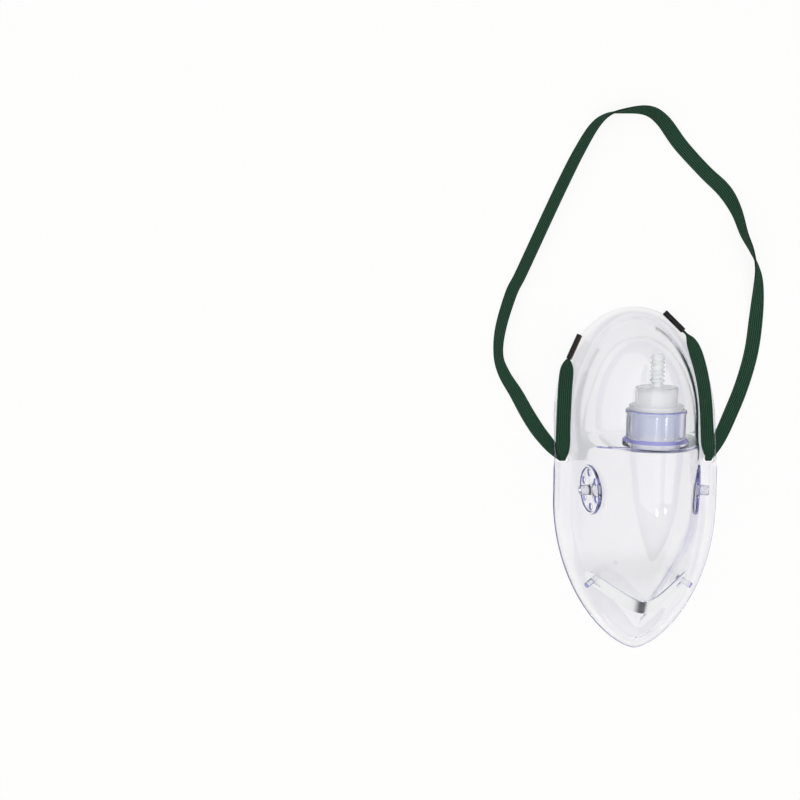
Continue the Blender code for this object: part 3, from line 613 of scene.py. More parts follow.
def on_line(values, length, at):
    """A line's values at distances along it, where length is the distance of each row."""
    return np.stack([np.interp(at, length, column) for column in values.T], axis=-1)


def line_frame(points, normals, distance):
    """The frame on the clip's outer face at a distance from its left end, or from its
    right end if the distance is negative."""
    length = line_length(points)
    distance = distance if distance > 0 else length[-1] + distance
    at, out, along = (on_line(values, length, distance)
                      for values in (points, normals, np.gradient(points, axis=0)))
    return frame_at(Vector(at) + Vector(out).normalized() * CLIP_THICK, out, along)


windows, additions, openings = (
    bpy.data.collections.new(name) for name in ("windows", "additions", "openings"))

socket_turn = Matrix.Rotation(SOCKET_TILT - 0.5 * math.pi, 4, "X")
socket_frame = Matrix.Translation(SOCKET_AT) @ socket_turn
socket_profile = round_corners([
    (0, -SOCKET_SINK, 0), (SOCKET_LIP_R, -SOCKET_SINK, FILLET), (SOCKET_LIP_R, 0.0005, FILLET),
    (SOCKET_R, 0.0020, 0.0008), (SOCKET_R, SOCKET_LENGTH - 0.0018, FILLET),
    (SOCKET_R + 0.0004, SOCKET_LENGTH - 0.0012, 0.0002),
    (SOCKET_R + 0.0004, SOCKET_LENGTH, 0.0004), (0, SOCKET_LENGTH, 0)])
socket = turned_mesh("socket_body", socket_profile, 96)
new_object("socket_body", socket, additions).matrix_world = socket_frame
bore = flared_cutter("socket_bore", SOCKET_BORE_R, -0.0080, SOCKET_LENGTH, 0.0004, steps=96)
new_object("socket_bore", bore, openings).matrix_world = socket_frame

disc_inner = DISC_TOP - DISC_THICK
disc_floor = DISC_TOP - DISC_RECESS
disc_profile = round_corners([
    (0, disc_inner, 0), (DISC_R, disc_inner, FILLET), (DISC_R, DISC_TOP, 0.0004),
    (DISC_R - DISC_RING, DISC_TOP, 0.0004), (DISC_R - DISC_RING, disc_floor, 0.0002),
    (STUB_R, disc_floor, FILLET), (STUB_R, disc_floor + STUB_LENGTH, 0.0005),
    (0, disc_floor + STUB_LENGTH, 0)])
spot, spot_normal = wall_spot(DISC_Y, DISC_Z)
disc_places = []
for side in (-1, 1):
    flip = np.array([side, 1, 1])
    place = frame_at(spot * flip, spot_normal * flip, (0, 1, 0))
    place = place @ Matrix.Rotation(side * DISC_LEAN, 4, "X")
    disc_places.append(place)
    window = flared_cutter("window", DISC_R - 0.0009, -0.004, 0.004, 0.0001, steps=48)
    new_object("window", window, windows).matrix_world = place
    plate = turned_mesh("disc_plate", disc_profile, 72)
    new_object("disc_plate", plate, additions).matrix_world = place
    for number in range(DISC_HOLES):
        angle = 2 * math.pi * number / DISC_HOLES
        offset = (HOLE_CIRCLE_R * math.cos(angle), HOLE_CIRCLE_R * math.sin(angle), 0)
        hole = flared_cutter("disc_hole", HOLE_R, disc_inner, disc_floor, 0.00015)
        place_hole = place @ Matrix.Translation(offset)
        new_object("disc_hole", hole, openings).matrix_world = place_hole

clip_points, clip_normals = clip_line()
peg_shift = 0.5 * SLOT_LENGTH - PEG_R - 0.0004
peg_profile = round_corners([(0, -PEG_ROOT, 0), (PEG_R, -PEG_ROOT, 0),
                             (PEG_R, PEG_LENGTH, 0.0004), (0, PEG_LENGTH, 0)])
slot_places, peg_places, hole_places = [], [], []
for side in (-1, 1):
    place = line_frame(clip_points, clip_normals, -side * SLOT_FROM_END)
    slot_places.append(place)
    peg = new_object("peg", turned_mesh("peg", peg_profile, 24), additions)
    peg_places.append(place @ Matrix.Translation((side * peg_shift, 0, 0)))
    peg.matrix_world = peg_places[-1]
    hole = slot_cutter("strap_hole", STRAP_HOLE_LONG, STRAP_HOLE_WIDE, -0.002, 0.012)
    hole_places.append(Matrix.Translation((side * STRAP_HOLE_X, STRAP_HOLE_Y, 0)))
    new_object("strap_hole", hole, openings).matrix_world = hole_places[-1]


def soften(mesh, angle):
    """Shade a mesh smooth but for edges over an angle in degrees."""
    mesh.shade_smooth()
    mesh.set_sharp_from_angle(angle=math.radians(angle))


def work_on(piece, steps, angle):
    """Cut a piece with collections of solids, or join them to it, one step at a time, and
    then soften its mesh and throw the solids away."""
    for collection, operation in steps:
        step = piece.modifiers.new(collection.name, "BOOLEAN")
        step.operation = operation
        step.operand_type = "COLLECTION"
        step.collection = collection
        step.solver = "MANIFOLD"
    graph = bpy.context.evaluated_depsgraph_get()
    final = bpy.data.meshes.new_from_object(piece.evaluated_get(graph))
    piece.modifiers.clear()
    final.materials.clear()
    piece.data = final
    soften(final, angle)
    for collection, _ in steps:
        for solid in list(collection.objects):
            bpy.data.objects.remove(solid, do_unlink=True)


work_on(clear_shell, ((windows, "DIFFERENCE"), (additions, "UNION"), (openings, "DIFFERENCE")),
        angle=32)


def lumps(tree, size, detail=2.0):
    """Noise on Object coordinates, in lumps of a given size."""
    place = add_node(tree, "TexCoord")
    return add_node(tree, "TexNoise", {"Scale": 1 / size, "Detail": detail},
                    {"Vector": place.outputs["Object"]})


def lit_through(tree, body, tint):
    """A clear body's shader, which lets shadow rays through as a thin tinted sheet does."""
    rays = add_node(tree, "LightPath")
    sheet = add_node(tree, "BsdfTransparent", {"Color": linear(tint)})
    return add_node(tree, "MixShader",
                    links={0: rays.outputs["Is Shadow Ray"], 1: body, 2: sheet})


# Soft clear PVC, injection moulded and polished by its mould: it bends light like glass,
# its plasticiser tints long paths through it violet, and faint flow waves stir its shine.
# The socket's thick wall is a little frosted, and more violet.
PVC_IOR = 1.53
PVC_SHADOW = "f4f4fa"
FLOW_WAVE = 0.016667
SOCKET_FROM_Y = (0.0952, 0.0960)
SOCKET_FROM_Z = (0.0300, 0.0312)

clear_pvc = bpy.data.materials.new("moulded_clear_pvc")
tree = empty_tree(clear_pvc)
ripple = add_node(tree, "Bump", {"Strength": 0.05, "Distance": 0.001},
                  {"Height": lumps(tree, FLOW_WAVE)})
# Painted edge glow: where the surface is seen at a grazing angle its colour turns violet, painted
# on for the light that the sheet carries to its edges.
grazing = add_node(tree, "LayerWeight", {"Blend": 0.5})
painted_edge_glow_tint = add_node(tree, "ValToRGB", links={"Fac": grazing.outputs["Facing"]})
for stop, position, colour in zip(painted_edge_glow_tint.color_ramp.elements, (0.78, 0.97),
                                  ("ffffff", "9a9ae6")):
    stop.position, stop.color = position, linear(colour)
place = add_node(tree, "TexCoord")
where = add_node(tree, "SeparateXYZ", links={0: place.outputs["Object"]})
past_shelf, over_dome = (
    add_node(tree, "MapRange", {1: begin, 2: end, 3: 0.0, 4: 1.0}, {0: where.outputs[axis]})
    for axis, (begin, end) in (("Y", SOCKET_FROM_Y), ("Z", SOCKET_FROM_Z)))
on_socket = add_node(tree, "Math", links={0: past_shelf, 1: over_dome}, operation="MULTIPLY")
socket_tint_and_painted_edge_glow = add_node(tree, "Mix", {"B": linear("f3f5ff")}, {"Factor": on_socket, "A": painted_edge_glow_tint},
                      data_type="RGBA")
frosting = add_node(tree, "MapRange", {1: 0.0, 2: 1.0, 3: 0.03, 4: 0.10}, {0: on_socket})
body = add_node(tree, "BsdfPrincipled", {"IOR": PVC_IOR, "Transmission Weight": 1.0},
                {"Base Color": socket_tint_and_painted_edge_glow.outputs["Result"], "Roughness": frosting,
                 "Normal": ripple})
tint = add_node(tree, "VolumeAbsorption", {"Color": (0.20, 0.22, 0.46, 1.0), "Density": 58.0})
add_node(tree, "OutputMaterial",
         links={"Surface": lit_through(tree, body, PVC_SHADOW), "Volume": tint})
clear_shell.data.materials.append(clear_pvc)

# The same PVC where it was trimmed or stands as a thin ring: the cut is satin, not polished,
# and its violet colour is a painted glow, for the light that the sheet carries to its edges.
painted_glow_pvc = bpy.data.materials.new("pvc_edge_painted_glow")
tree = empty_tree(painted_glow_pvc)
body = add_node(tree, "BsdfPrincipled",
                {"Base Color": linear("9c9ce6"), "Roughness": 0.25, "IOR": PVC_IOR,
                 "Transmission Weight": 0.55})
add_node(tree, "OutputMaterial", links={"Surface": lit_through(tree, body, PVC_SHADOW)})
clear_shell.data.materials.append(painted_glow_pvc)

# How near the rim a cut face lies, how deep the painted violet glow goes at the ends of the pegs
# and of the socket, and how far a cut face's normal may lie along the axis of its place
RIM_NEAR = 0.0004
PAINTED_GLOW_DEPTH = 0.0005
STEEP = 0.75
UPRIGHT = 0.40


def faces_seen_from(mesh, place):
    """Each face's centre in a place's own frame, its distance from the place's axis, its
    height along that axis, and how far its normal lies along it (0 to 1)."""
    centre, normal = np.empty((2, 3 * len(mesh.polygons)))
    mesh.polygons.foreach_get("center", centre)
    mesh.polygons.foreach_get("normal", normal)
    back = np.array(place.inverted())
    local = centre.reshape(-1, 3) @ back[:3, :3].T + back[:3, 3]
    facing = np.abs(normal.reshape(-1, 3) @ back[:3, :3].T)[:, 2]
    return local, np.hypot(local[:, 0], local[:, 1]), local[:, 2], facing


def between(values, low, high):
    """True where a value lies between two others."""
    return (values > low) & (values < high)


# The faces below are painted with a violet glow, for the light carried to cut edges and thin
# rings
# The rim's cut edge: steep faces close to the rim's line
mesh = clear_shell.data
centre, _, height, facing = faces_seen_from(mesh, Matrix())
from_rim = np.full(len(centre), 1.0)
low = np.flatnonzero(height < CREASE_Z)
for x, y in zip(*plan_line(np.linspace(0, 3, 700), HALF_WIDTH, 0, LENGTH)):
    off = np.hypot(np.abs(centre[low, 0]) - x, centre[low, 1] - y)
    from_rim[low] = np.minimum(from_rim[low], off)
painted_glow_faces = (from_rim < RIM_NEAR) & (facing < STEEP)

# The shelf's edge on both sides of the socket
shelf_edge = (np.abs(centre[:, 1] - SHELF_TOP - 0.0001) < 0.00015) & (height > DOME_Z)
painted_glow_faces |= shelf_edge & (np.abs(centre[:, 0]) > 0.008)

# The discs' outer rings and hole walls, the pegs' ends and the strap holes' walls
for place in disc_places:
    _, radius, height, facing = faces_seen_from(mesh, place)
    ring = between(radius, STUB_R + 0.0012, DISC_R + 0.0006) & between(height, disc_inner, 0.0030)
    ring &= (height > disc_floor - 0.0002) | (radius < DISC_R - DISC_RING)
    painted_glow_faces |= ring & (facing < STEEP)
for place in peg_places:
    _, radius, height, _ = faces_seen_from(mesh, place)
    painted_glow_faces |= (radius < PEG_R + 0.0001) & (height > PEG_LENGTH - PAINTED_GLOW_DEPTH)
for place in hole_places:
    _, radius, height, facing = faces_seen_from(mesh, place)
    painted_glow_faces |= (radius < STRAP_HOLE_LONG) & (height < CREASE_Z) & (facing < UPRIGHT)

# The socket's lip and its mouth
_, radius, height, _ = faces_seen_from(mesh, socket_frame)
lip = between(radius, SOCKET_R + 0.0005, SOCKET_LIP_R + 0.0002)
mouth = between(radius, SOCKET_R, SOCKET_LIP_R)
painted_glow_faces |= lip & between(height, 0.0003, SOCKET_SINK)
painted_glow_faces |= mouth & (np.abs(height - SOCKET_LENGTH) < PAINTED_GLOW_DEPTH)
mesh.polygons.foreach_set("material_index", painted_glow_faces.astype(np.int32))
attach(clear_shell, "mask")
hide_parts("face_shell")


# The tubing connector
# One moulding of translucent polypropylene: a hollow spigot that turns in the socket, a
# seat flange, an eight-sided collar for the fingers, and a ringed nipple for the tubing.
CONNECTOR_GAP = 0.0003
SPIGOT_R = 0.0099
SPIGOT_BORE_R = 0.0087
SPIGOT_END = -0.0030
SEAT_R = 0.0110
SEAT_HEIGHT = 0.0018
COLLAR_R = 0.0089
COLLAR_BORE_R = 0.0074
COLLAR_HEIGHT = 0.0074
COLLAR_ROOF = 0.0014
COLLAR_SIDES = 8
SIDE_DEPTH = 0.0005
NIPPLE_R = 0.0029
NIPPLE_BORE_R = 0.0017
NIPPLE_LENGTH = 0.0133
NIPPLE_RINGS = 6
RING_PITCH = 0.0018
RING_DEPTH = 0.0005
LONGEST_FACE = 0.0006

seat = SOCKET_LENGTH + CONNECTOR_GAP
collar = seat + SEAT_HEIGHT
collar_top = collar + COLLAR_HEIGHT
nipple_end = collar_top + NIPPLE_LENGTH
roof = collar_top - COLLAR_ROOF


def denser(profile, longest):
    """The same profile with points added, so that no side is longer than a length."""
    points = []
    for start, end in zip(profile, np.roll(profile, -1, axis=0)):
        count = max(1, math.ceil(np.linalg.norm(end - start) / longest))
        points.append(start + np.arange(count)[:, None] / count * (end - start))
    return np.concatenate(points)


def collar_radius(angle):
    """The collar's radius: flat sides, whose distance from the axis is their depth less
    than the radius, between narrow ribs of the full radius, with a soft minimum."""
    turn = 2 * math.pi / COLLAR_SIDES
    off = (angle + 0.5 * math.pi + 0.5 * turn) % turn - 0.5 * turn
    flat = (COLLAR_R - SIDE_DEPTH) / np.cos(off)
    soft = 0.00004
    return COLLAR_R - soft * np.logaddexp(0, (COLLAR_R - flat) / soft)


ring_corners = []
for number in range(NIPPLE_RINGS):
    crest = nipple_end - 0.0014 - number * RING_PITCH
    ring_corners += [(NIPPLE_R, crest, 0.00012), (NIPPLE_R, crest - 0.0007, 0.00012),
                     (NIPPLE_R - RING_DEPTH, crest - 0.0010, 0.00010),
                     (NIPPLE_R - RING_DEPTH, crest - 0.0014, 0.00010)]
connector_profile = denser(round_corners([
    (NIPPLE_BORE_R, nipple_end, 0.0002), (NIPPLE_R - 0.0006, nipple_end, 0.0002),
    *ring_corners,
    (NIPPLE_R - 0.0002, collar_top, 0.0004), (COLLAR_R - 0.0002, collar_top, 0.0008),
    (COLLAR_R - 0.0002, collar, 0.0002), (SEAT_R, collar, 0.0004), (SEAT_R, seat, FILLET),
    (SPIGOT_R, seat, 0.0001), (SPIGOT_R - 0.0002, SPIGOT_END, FILLET),
    (SPIGOT_BORE_R, SPIGOT_END, FILLET), (SPIGOT_BORE_R, seat - 0.0006, FILLET),
    (COLLAR_BORE_R, seat + 0.0010, FILLET), (COLLAR_BORE_R, roof, 0.0010),
    (NIPPLE_BORE_R, roof, FILLET)], steps=4), LONGEST_FACE)
angle = np.linspace(0, 2 * math.pi, 256, endpoint=False)[:, None]
radius, height = connector_profile.T
on_collar = (radius > COLLAR_BORE_R + 0.0004) & (height > collar) & (height < collar_top)
inside_ends = ramp((height - collar) / 0.0006) * ramp((collar_top - height) / 0.0012)
shaped = radius - (COLLAR_R - collar_radius(angle)) * on_collar * inside_ends
points = np.stack([shaped * np.cos(angle), shaped * np.sin(angle), height + 0 * angle], axis=-1)
connector_mesh = sewn(surface_mesh("pp_connector", points, close_rows=True, close_columns=True))
connector_mesh.transform(socket_frame)
pp_connector = new_object("pp_connector", connector_mesh)
soften(pp_connector.data, 40)

# Natural polypropylene, injection moulded with a satin finish: light passes through it
# but is scattered, so it looks milky, with soft broad highlights. The mould's grain is
# finer than the render shows, so it is drawn coarser.
SATIN_GRAIN = 0.0011111

natural_pp = bpy.data.materials.new("moulded_natural_polypropylene")
tree = empty_tree(natural_pp)
grain = add_node(tree, "Bump", {"Strength": 0.06, "Distance": 0.0002},
                 {"Height": lumps(tree, SATIN_GRAIN)})
body = add_node(tree, "BsdfPrincipled",
                {"Base Color": linear("f8f9f8"), "Roughness": 0.20, "IOR": 1.49,
                 "Transmission Weight": 0.70},
                {"Normal": grain})
add_node(tree, "OutputMaterial", links={"Surface": lit_through(tree, body, "eeeeee")})
pp_connector.data.materials.append(natural_pp)
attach(pp_connector, "connector")
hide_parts("tubing_connector")


# The nose clip
# A strip of soft rolled aluminium with round ends, bent to a V over the nose. A slot near
# each end holds it on the shell's pegs, and the wearer pinches it to fit.
CLIP_WIDTH = 0.0079
CLIP_EDGE = 0.0002
CLIP_FLAT = 0.92


def section_loop(half_wide, half_thick, fillet, steps=4):
    """A rectangle's outline with its corners rounded: one quarter circle of the fillet's
    radius at each corner, for a whole array of half widths at once. Two more points on
    each wide side keep it flat."""
    half_wide = half_wide[:, None]
    fillet = np.minimum(fillet, half_wide)
    rise = np.minimum(fillet, half_thick)
    quarters = 0.5 * math.pi * np.arange(4)[:, None]
    turn = (np.linspace(0, 0.5 * math.pi, steps) + quarters).ravel()
    side, lift = np.repeat([[1, -1, -1, 1], [1, 1, -1, -1]], steps, axis=1)
    wide = side * (half_wide - fillet) + fillet * np.cos(turn)
    thick = lift * (half_thick - rise) + rise * np.sin(turn)
    flat, top = CLIP_FLAT * wide[:, steps - 1], thick[:, steps - 1]
    after = [steps, steps, 3 * steps, 3 * steps]
    wide = np.insert(wide, after, np.stack([flat, -flat, -flat, flat], axis=1), axis=1)
    thick = np.insert(thick, after, np.stack([top, top, -top, -top], axis=1), axis=1)
    return wide, thick


def marked(mesh, name, values):
    """Keep one number for each vertex of a mesh, for its material to read."""
    mesh.attributes.new(name, "FLOAT", "POINT").data.foreach_set("value", values.ravel())


length = line_length(clip_points)
half_width = 0.5 * CLIP_WIDTH
end = half_width * (1 - np.cos(np.linspace(0, 0.5 * math.pi, 18)))[:-1]
at = np.concatenate([end, np.linspace(half_width, length[-1] - half_width, 260),
                     length[-1] - end[::-1]])
line = on_line(clip_points, length, at)
out = unit(on_line(clip_normals, length, at))
across = unit(np.cross(out, np.gradient(line, axis=0)))
near_end = np.minimum(np.minimum(at, length[-1] - at), half_width)
wide, thick = section_loop(np.sqrt(half_width ** 2 - (half_width - near_end) ** 2),
                           0.5 * CLIP_THICK, CLIP_EDGE)
middle = line + 0.5 * CLIP_THICK * out
points = middle[:, None] + wide[..., None] * across[:, None] + thick[..., None] * out[:, None]
clip_mesh = surface_mesh("clip_strip", points, close_columns=True)
marked(clip_mesh, "along", np.repeat(at[:, None], wide.shape[1], axis=1))
marked(clip_mesh, "across", wide)
clip_strip = new_object("clip_strip", sewn(clip_mesh, 0.000001))
slots = bpy.data.collections.new("slots")
for place in slot_places:
    slot = slot_cutter("clip_slot", SLOT_LENGTH, SLOT_WIDTH, -CLIP_THICK - 0.0004, 0.0004,
                       grow=FILLET)
    new_object("clip_slot", slot, slots).matrix_world = place
work_on(clip_strip, ((slots, "DIFFERENCE"),), angle=35)

# Rolled aluminium: the mill leaves fine lines along the strip, which stretch its
# highlights across them, and it mirrors the paper and the dim room softly.
MILL_RUN = 0.0083333
MILL_SPACING = 0.00016667

rolled_aluminium = bpy.data.materials.new("rolled_aluminium")
tree = empty_tree(rolled_aluminium)
grid = add_node(tree, "CombineXYZ")
for axis, name, size in (("X", "along", MILL_RUN), ("Y", "across", MILL_SPACING)):
    mark = add_node(tree, "Attribute", attribute_name=name)
    scaled = add_node(tree, "Math", {1: size}, {0: mark.outputs["Fac"]}, operation="DIVIDE")
    tree.links.new(scaled.outputs[0], grid.inputs[axis])
mill_lines = add_node(tree, "TexNoise", {"Scale": 1.0, "Detail": 3.0}, {"Vector": grid})
scratches = add_node(tree, "Bump", {"Strength": 0.12, "Distance": 0.0001},
                     {"Height": mill_lines})
body = add_node(tree, "BsdfPrincipled",
                {"Base Color": linear("f0f2f4"), "Metallic": 1.0, "Roughness": 0.17},
                {"Normal": scratches})
add_node(tree, "OutputMaterial", links={"Surface": body})
clip_strip.data.materials.append(rolled_aluminium)
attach(clip_strip, "mask")
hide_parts("nose_clip")


# The head strap
# Flat knitted elastic, dyed dark green: rubber threads run inside its lengthwise ribs. It
# is one length, which passes through both holes of the rim and ends in two metal tips.
STRAP_THICK = 0.0010
STRAP_RIBS = 7
RIB_DEPTH = 0.32

# Each row of the strap's route is x, y, z, roll in degrees, and width.
LEFT_TAIL = (
    (-0.0286, 0.1316, 0.0030, 0, 0.0010),
    (-0.0291, 0.1305, 0.0030, 0, 0.0010),
    (-0.0297, 0.1293, 0.0030, 0, 0.0011),
    (-0.0302, 0.1275, 0.0031, 2, 0.0036),
    (-0.0307, 0.1240, 0.0033, 8, 0.0060),
    (-0.0315, 0.1160, 0.0036, 14, 0.0064),
    (-0.0320, 0.1060, 0.0037, 16, 0.0064),
    (-0.0324, 0.0980, 0.0041, 14, 0.0064),
    (-0.0326, 0.0915, 0.0048, 9, 0.0064),
    (-0.0326, 0.0877, 0.0054, 4, 0.0052),
    (-0.0326, 0.0853, 0.0054, 0, 0.0032),
    (-0.0326, 0.0841, 0.0043, 0, 0.0024),
    (-0.0326, 0.0840, 0.0030, 0, 0.0024),
)
LOOP = (
    (-0.0327, 0.0841, 0.0017, 0, 0.0024),
    (-0.0333, 0.0850, 0.0008, 0, 0.0032),
    (-0.0350, 0.0871, 0.0006, 0, 0.0046),
    (-0.0382, 0.0907, 0.0006, 0, 0.0058),
    (-0.0434, 0.0972, 0.0008, 0, 0.0064),
    (-0.0484, 0.1050, 0.0014, -12, 0.0064),
    (-0.0531, 0.1134, 0.0021, -25, 0.0064),
    (-0.0587, 0.1225, 0.0029, -42, 0.0064),
    (-0.0613, 0.1310, 0.0033, -55, 0.0064),
    (-0.0602, 0.1430, 0.0029, -45, 0.0064),
    (-0.0556, 0.1582, 0.0026, -38, 0.0064),
    (-0.0515, 0.1665, 0.0026, -38, 0.0064),
    (-0.0450, 0.1805, 0.0026, -38, 0.0064),
    (-0.0383, 0.1950, 0.0026, -38, 0.0064),
    (-0.0324, 0.2075, 0.0026, -38, 0.0064),
    (-0.0254, 0.2215, 0.0027, -42, 0.0064),
    (-0.0185, 0.2330, 0.0031, -52, 0.0064),
    (-0.0126, 0.2382, 0.0035, -70, 0.0064),
    (-0.0056, 0.2399, 0.0037, -90, 0.0064),
    (0.0050, 0.2402, 0.0035, -115, 0.0064),
    (0.0122, 0.2360, 0.0028, -140, 0.0064),
    (0.0207, 0.2252, 0.0014, -170, 0.0064),
    (0.0315, 0.2135, 0.0010, -178, 0.0064),
    (0.0401, 0.2046, 0.0020, -155, 0.0064),
    (0.0451, 0.1955, 0.0032, -122, 0.0064),
    (0.0486, 0.1850, 0.0036, -102, 0.0064),
    (0.0520, 0.1775, 0.0036, -85, 0.0064),
    (0.0545, 0.1700, 0.0032, -60, 0.0064),
    (0.0554, 0.1616, 0.0022, -32, 0.0064),
    (0.0546, 0.1467, 0.0008, -2, 0.0064),
    (0.0525, 0.1319, 0.0007, 0, 0.0064),
    (0.0483, 0.1172, 0.0007, 0, 0.0064),
    (0.0430, 0.1040, 0.0007, 0, 0.0064),
    (0.0385, 0.0940, 0.0007, 0, 0.0060),
    (0.0350, 0.0875, 0.0006, 0, 0.0046),
    (0.0333, 0.0850, 0.0008, 0, 0.0032),
    (0.0327, 0.0841, 0.0017, 0, 0.0024),
)
RIGHT_TAIL = (
    (0.0326, 0.0840, 0.0030, 0, 0.0024),
    (0.0326, 0.0841, 0.0043, 0, 0.0024),
    (0.0325, 0.0853, 0.0054, 0, 0.0032),
    (0.0323, 0.0877, 0.0054, 4, 0.0052),
    (0.0320, 0.0915, 0.0049, 8, 0.0064),
    (0.0318, 0.0980, 0.0043, 12, 0.0064),
    (0.0315, 0.1060, 0.0041, 14, 0.0064),
    (0.0307, 0.1150, 0.0040, 14, 0.0064),
    (0.0291, 0.1240, 0.0039, 12, 0.0064),
    (0.0268, 0.1320, 0.0038, 8, 0.0062),
    (0.0248, 0.1370, 0.0036, 3, 0.0044),
    (0.0231, 0.1399, 0.0032, 0, 0.0012),
    (0.0218, 0.1413, 0.0030, 0, 0.0010),
    (0.0206, 0.1426, 0.0030, 0, 0.0010),
    (0.0196, 0.1436, 0.0030, 0, 0.0010),
)


def strap_rows():
    """All control rows in order, each with the plan angle of its width: square to the
    run along the loop, and across the mask in the tails and the holes."""
    loop = np.array(LOOP)
    heading = np.gradient(loop[:, :2], axis=0)
    aim = np.unwrap(np.arctan2(heading[:, 1], heading[:, 0])) - 0.5 * math.pi
    aim[0] = 0.5 * aim[1]
    aim[-1] = 0.5 * (aim[-2] - math.pi)
    left = np.column_stack([np.array(LEFT_TAIL), np.zeros(len(LEFT_TAIL))])
    right = np.column_stack([np.array(RIGHT_TAIL), np.full(len(RIGHT_TAIL), -math.pi)])
    return np.concatenate([left, np.column_stack([loop, aim]), right])


def smooth_rows(rows, steps):
    """A Catmull-Rom curve through the rows, with some steps between each two."""
    padded = np.concatenate([2 * rows[:1] - rows[1:2], rows, 2 * rows[-1:] - rows[-2:-1]])
    before, start, end, after = padded[:-3], padded[1:-2], padded[2:-1], padded[3:]
    u = (np.arange(steps) / steps)[None, :, None]
    before, start, end, after = (r[:, None, :] for r in (before, start, end, after))
    curve = 0.5 * (2 * start + (end - before) * u
                   + (2 * before - 5 * start + 4 * end - after) * u ** 2
                   + (3 * start - before - 3 * end + after) * u ** 3)
    return np.concatenate([curve.reshape(-1, rows.shape[1]), rows[-1:]])


def ribbed_section(ribs, steps=6):
    """The elastic's section round its outline, as shares of its half width and of its
    half thickness: each rib is a sine's arch, and the edges close as a steep power."""
    across = -np.cos(np.linspace(0, math.pi, ribs * steps + 1))
    across = 0.35 * across + 0.65 * np.linspace(-1, 1, ribs * steps + 1)
    rib = 0.5 * ribs * (across + 1)
    arch = np.abs(np.sin(math.pi * rib)) ** 0.7
    closing = np.sqrt(np.clip(1 - np.abs(across) ** 14, 0, 1))
    lift = (1 - RIB_DEPTH + RIB_DEPTH * arch) * closing
    back = slice(-2, 0, -1)
    return (np.concatenate([across, across[back]]), np.concatenate([lift, -lift[back]]),
            np.concatenate([rib, rib[back]]))


rows = smooth_rows(strap_rows(), 10)
centre = rows[:, :3]
along = unit(np.gradient(centre, axis=0))
aim = rows[:, 5]
flat = np.stack([np.cos(aim), np.sin(aim), 0 * aim], axis=-1)
flat = unit(flat - along * np.sum(flat * along, axis=1, keepdims=True))
lift = np.cross(along, flat)
roll = np.radians(rows[:, 3])[:, None]
wide_way = np.cos(roll) * flat + np.sin(roll) * lift
thick_way = np.cross(along, wide_way)
side, height, rib = ribbed_section(STRAP_RIBS)
half_wide = 0.5 * rows[:, 4][:, None, None]
points = (centre[:, None] + half_wide * side[None, :, None] * wide_way[:, None]
          + 0.5 * STRAP_THICK * height[None, :, None] * thick_way[:, None])
points = np.concatenate([np.repeat(centre[:1, None], len(side), axis=1), points,
                         np.repeat(centre[-1:, None], len(side), axis=1)])
run = line_length(centre)
run = np.concatenate([run[:1], run, run[-1:]])
strap_mesh = surface_mesh("knitted_strap", points, close_columns=True)
marked(strap_mesh, "run", np.repeat(run[:, None], len(side), axis=1))
marked(strap_mesh, "rib", np.repeat(rib[None, :], len(run), axis=0))
knitted_strap = new_object("knitted_strap", sewn(strap_mesh, 0.000001))
knitted_strap.data.shade_smooth()

# Dyed polyester yarn knitted over rubber: matt and fibrous. Its colour holds painted light and
# shade: the slanted stitches along each rib are painted lighter as highlights, the valleys
# between the ribs are painted dark as shade, and the fibres vary its tone at random. A tuft of
# fibres is drawn coarser than it is, so that it shows.
STITCH = 0.0009
STITCH_SLANT = 2.6
STITCH_SHARE = 0.35
STITCH_LIGHT_AND_FIBRE_TONE = 0.18
FIBRE_TUFT = 0.00045455

green_knit = bpy.data.materials.new("knitted_green_polyester")
tree = empty_tree(green_knit)
run_node = add_node(tree, "Attribute", attribute_name="run")
rib_node = add_node(tree, "Attribute", attribute_name="rib")
rib_turn = add_node(tree, "Math", {1: math.pi}, {0: rib_node.outputs["Fac"]},
                    operation="MULTIPLY")
rib_wave = add_node(tree, "Math", links={0: rib_turn}, operation="SINE")
crest = add_node(tree, "Math", links={0: rib_wave}, operation="ABSOLUTE")
run_turn = add_node(tree, "Math", {1: 2 * math.pi / STITCH},
                    {0: run_node.outputs["Fac"]}, operation="MULTIPLY")
slant = add_node(tree, "Math", {1: STITCH_SLANT},
                 {0: rib_node.outputs["Fac"], 2: run_turn}, operation="MULTIPLY_ADD")
stitch = add_node(tree, "Math", links={0: slant}, operation="SINE")
fibres = lumps(tree, FIBRE_TUFT, detail=3.0)
yarn = add_node(tree, "Math", {1: STITCH_SHARE}, {0: stitch, 2: fibres},
                operation="MULTIPLY_ADD")
relief = add_node(tree, "Bump", {"Strength": 0.5, "Distance": 0.00015}, {"Height": yarn})
# Painted shade dark in the valleys between the ribs and light on their crests, painted highlights
# on the stitches, and random fibre tone
painted_light_and_fibre_tone = add_node(tree, "Math", {1: STITCH_LIGHT_AND_FIBRE_TONE}, {0: yarn, 2: crest}, operation="MULTIPLY_ADD")
dye_and_painted_rib_shade = add_node(tree, "ValToRGB", links={"Fac": painted_light_and_fibre_tone})
for stop, position, colour in zip(dye_and_painted_rib_shade.color_ramp.elements, (0.15, 1.0), ("030a06", "254c36")):
    stop.position, stop.color = position, linear(colour)
body = add_node(tree, "BsdfPrincipled", {"Roughness": 0.85, "Specular IOR Level": 0.25},
                {"Base Color": dye_and_painted_rib_shade, "Normal": relief})
add_node(tree, "OutputMaterial", links={"Surface": body})
knitted_strap.data.materials.append(green_knit)
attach(knitted_strap, "mask")
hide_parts("elastic_strap")


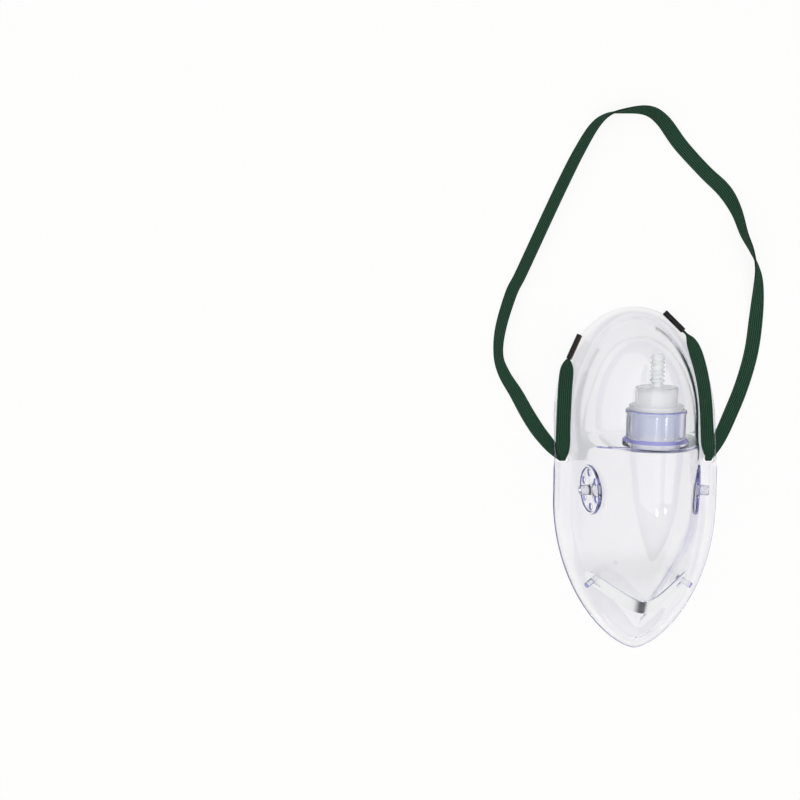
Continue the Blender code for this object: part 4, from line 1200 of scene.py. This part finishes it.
# The strap's tips
# A small sheet of steel rolled and crimped over each end of the elastic, so that it can
# be threaded through its hole. It is lacquered dark; the gap between its edges is bare.
TIP_R = 0.0013
TIP_BORE_R = 0.0010
TIP_LENGTH = 0.0118
TIP_BORE = 0.0030
TIP_FREE_END = 0.0003
TIP_ROUND = 0.00025
TIP_GAP_ANGLE = math.radians(34)
TIP_GAP_SOFT = 0.10
TIP_GAP_DEPTH = 0.00022
TIP_GAP_AT_LEFT = 5.24
TIP_GAP_AT_RIGHT = 3.14
WEAR_PATCH = 0.00071429


def tip_radius(angle, gap_at):
    """The rolled sheet's radius: full all round, and lower over the gap by the sheet's
    thickness, with smooth cubic edges."""
    off = np.abs((angle - gap_at + math.pi) % (2 * math.pi) - math.pi)
    in_gap = 1 - ramp((off - TIP_GAP_ANGLE + TIP_GAP_SOFT) / TIP_GAP_SOFT)
    return TIP_R - TIP_GAP_DEPTH * in_gap, in_gap


# Mild steel, rolled and dipped in black lacquer: thin, slightly worn gloss that shows
# the lamps dimly, with brown bare metal down in the gap.
lacquered_steel = bpy.data.materials.new("lacquered_rolled_steel")
tree = empty_tree(lacquered_steel)
bare = add_node(tree, "Attribute", attribute_name="bare")
worn = add_node(tree, "MapRange", {1: 0.35, 2: 0.75, 3: 0.16, 4: 0.34},
                {0: lumps(tree, WEAR_PATCH, detail=3.0)})
finish = add_node(tree, "Mix", {"A": linear("070a07"), "B": linear("5c3c26")},
                  {"Factor": bare.outputs["Fac"]}, data_type="RGBA")
body = add_node(tree, "BsdfPrincipled",
                {"Specular IOR Level": 0.2, "Coat Weight": 0.15, "Coat Roughness": 0.12},
                {"Base Color": finish.outputs["Result"], "Roughness": worn})
add_node(tree, "OutputMaterial", links={"Surface": body})

angle = np.linspace(0, 2 * math.pi, 96, endpoint=False)
corner = TIP_ROUND * np.array([(1 - math.cos(a), math.sin(a) - 1)
                               for a in np.linspace(0, 0.5 * math.pi, 6)])
for name, node, end, inward, gap_at in (
        ("rolled_tip_left", "strap_tip_left", 0, 1, TIP_GAP_AT_LEFT),
        ("rolled_tip_right", "strap_tip_right", -1, -1, TIP_GAP_AT_RIGHT)):
    radius, in_gap = tip_radius(angle, gap_at)
    low = [(z, radius + less) for z, less in corner[:-1]]
    body_rows = [(z, radius) for z in np.linspace(TIP_ROUND, TIP_LENGTH - TIP_ROUND, 24)]
    high = [(TIP_LENGTH - z, radius + less) for z, less in corner[-2::-1]]
    bore = [(TIP_LENGTH - 0.0001, TIP_BORE_R), (TIP_LENGTH - TIP_BORE, TIP_BORE_R),
            (TIP_LENGTH - TIP_BORE, 0)]
    levels = [(0, 0)] + low + body_rows + high + bore
    points = np.stack([np.column_stack([r * np.cos(angle), r * np.sin(angle),
                                        np.full_like(angle, z)]) for z, r in levels])
    tip_mesh = surface_mesh(name, points, close_columns=True)
    marked(tip_mesh, "bare", np.repeat(in_gap[None, :], len(levels), axis=0))
    direction = Vector(along[end]) * inward
    start = Vector(centre[end]) + direction * (TIP_BORE - TIP_FREE_END - TIP_LENGTH)
    sewn(tip_mesh).transform(frame_at(start, direction, (0, 0, 1)))
    tip = new_object(name, tip_mesh)
    soften(tip.data, 40)
    tip.data.materials.append(lacquered_steel)
    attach(tip, "mask")
    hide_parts(node)
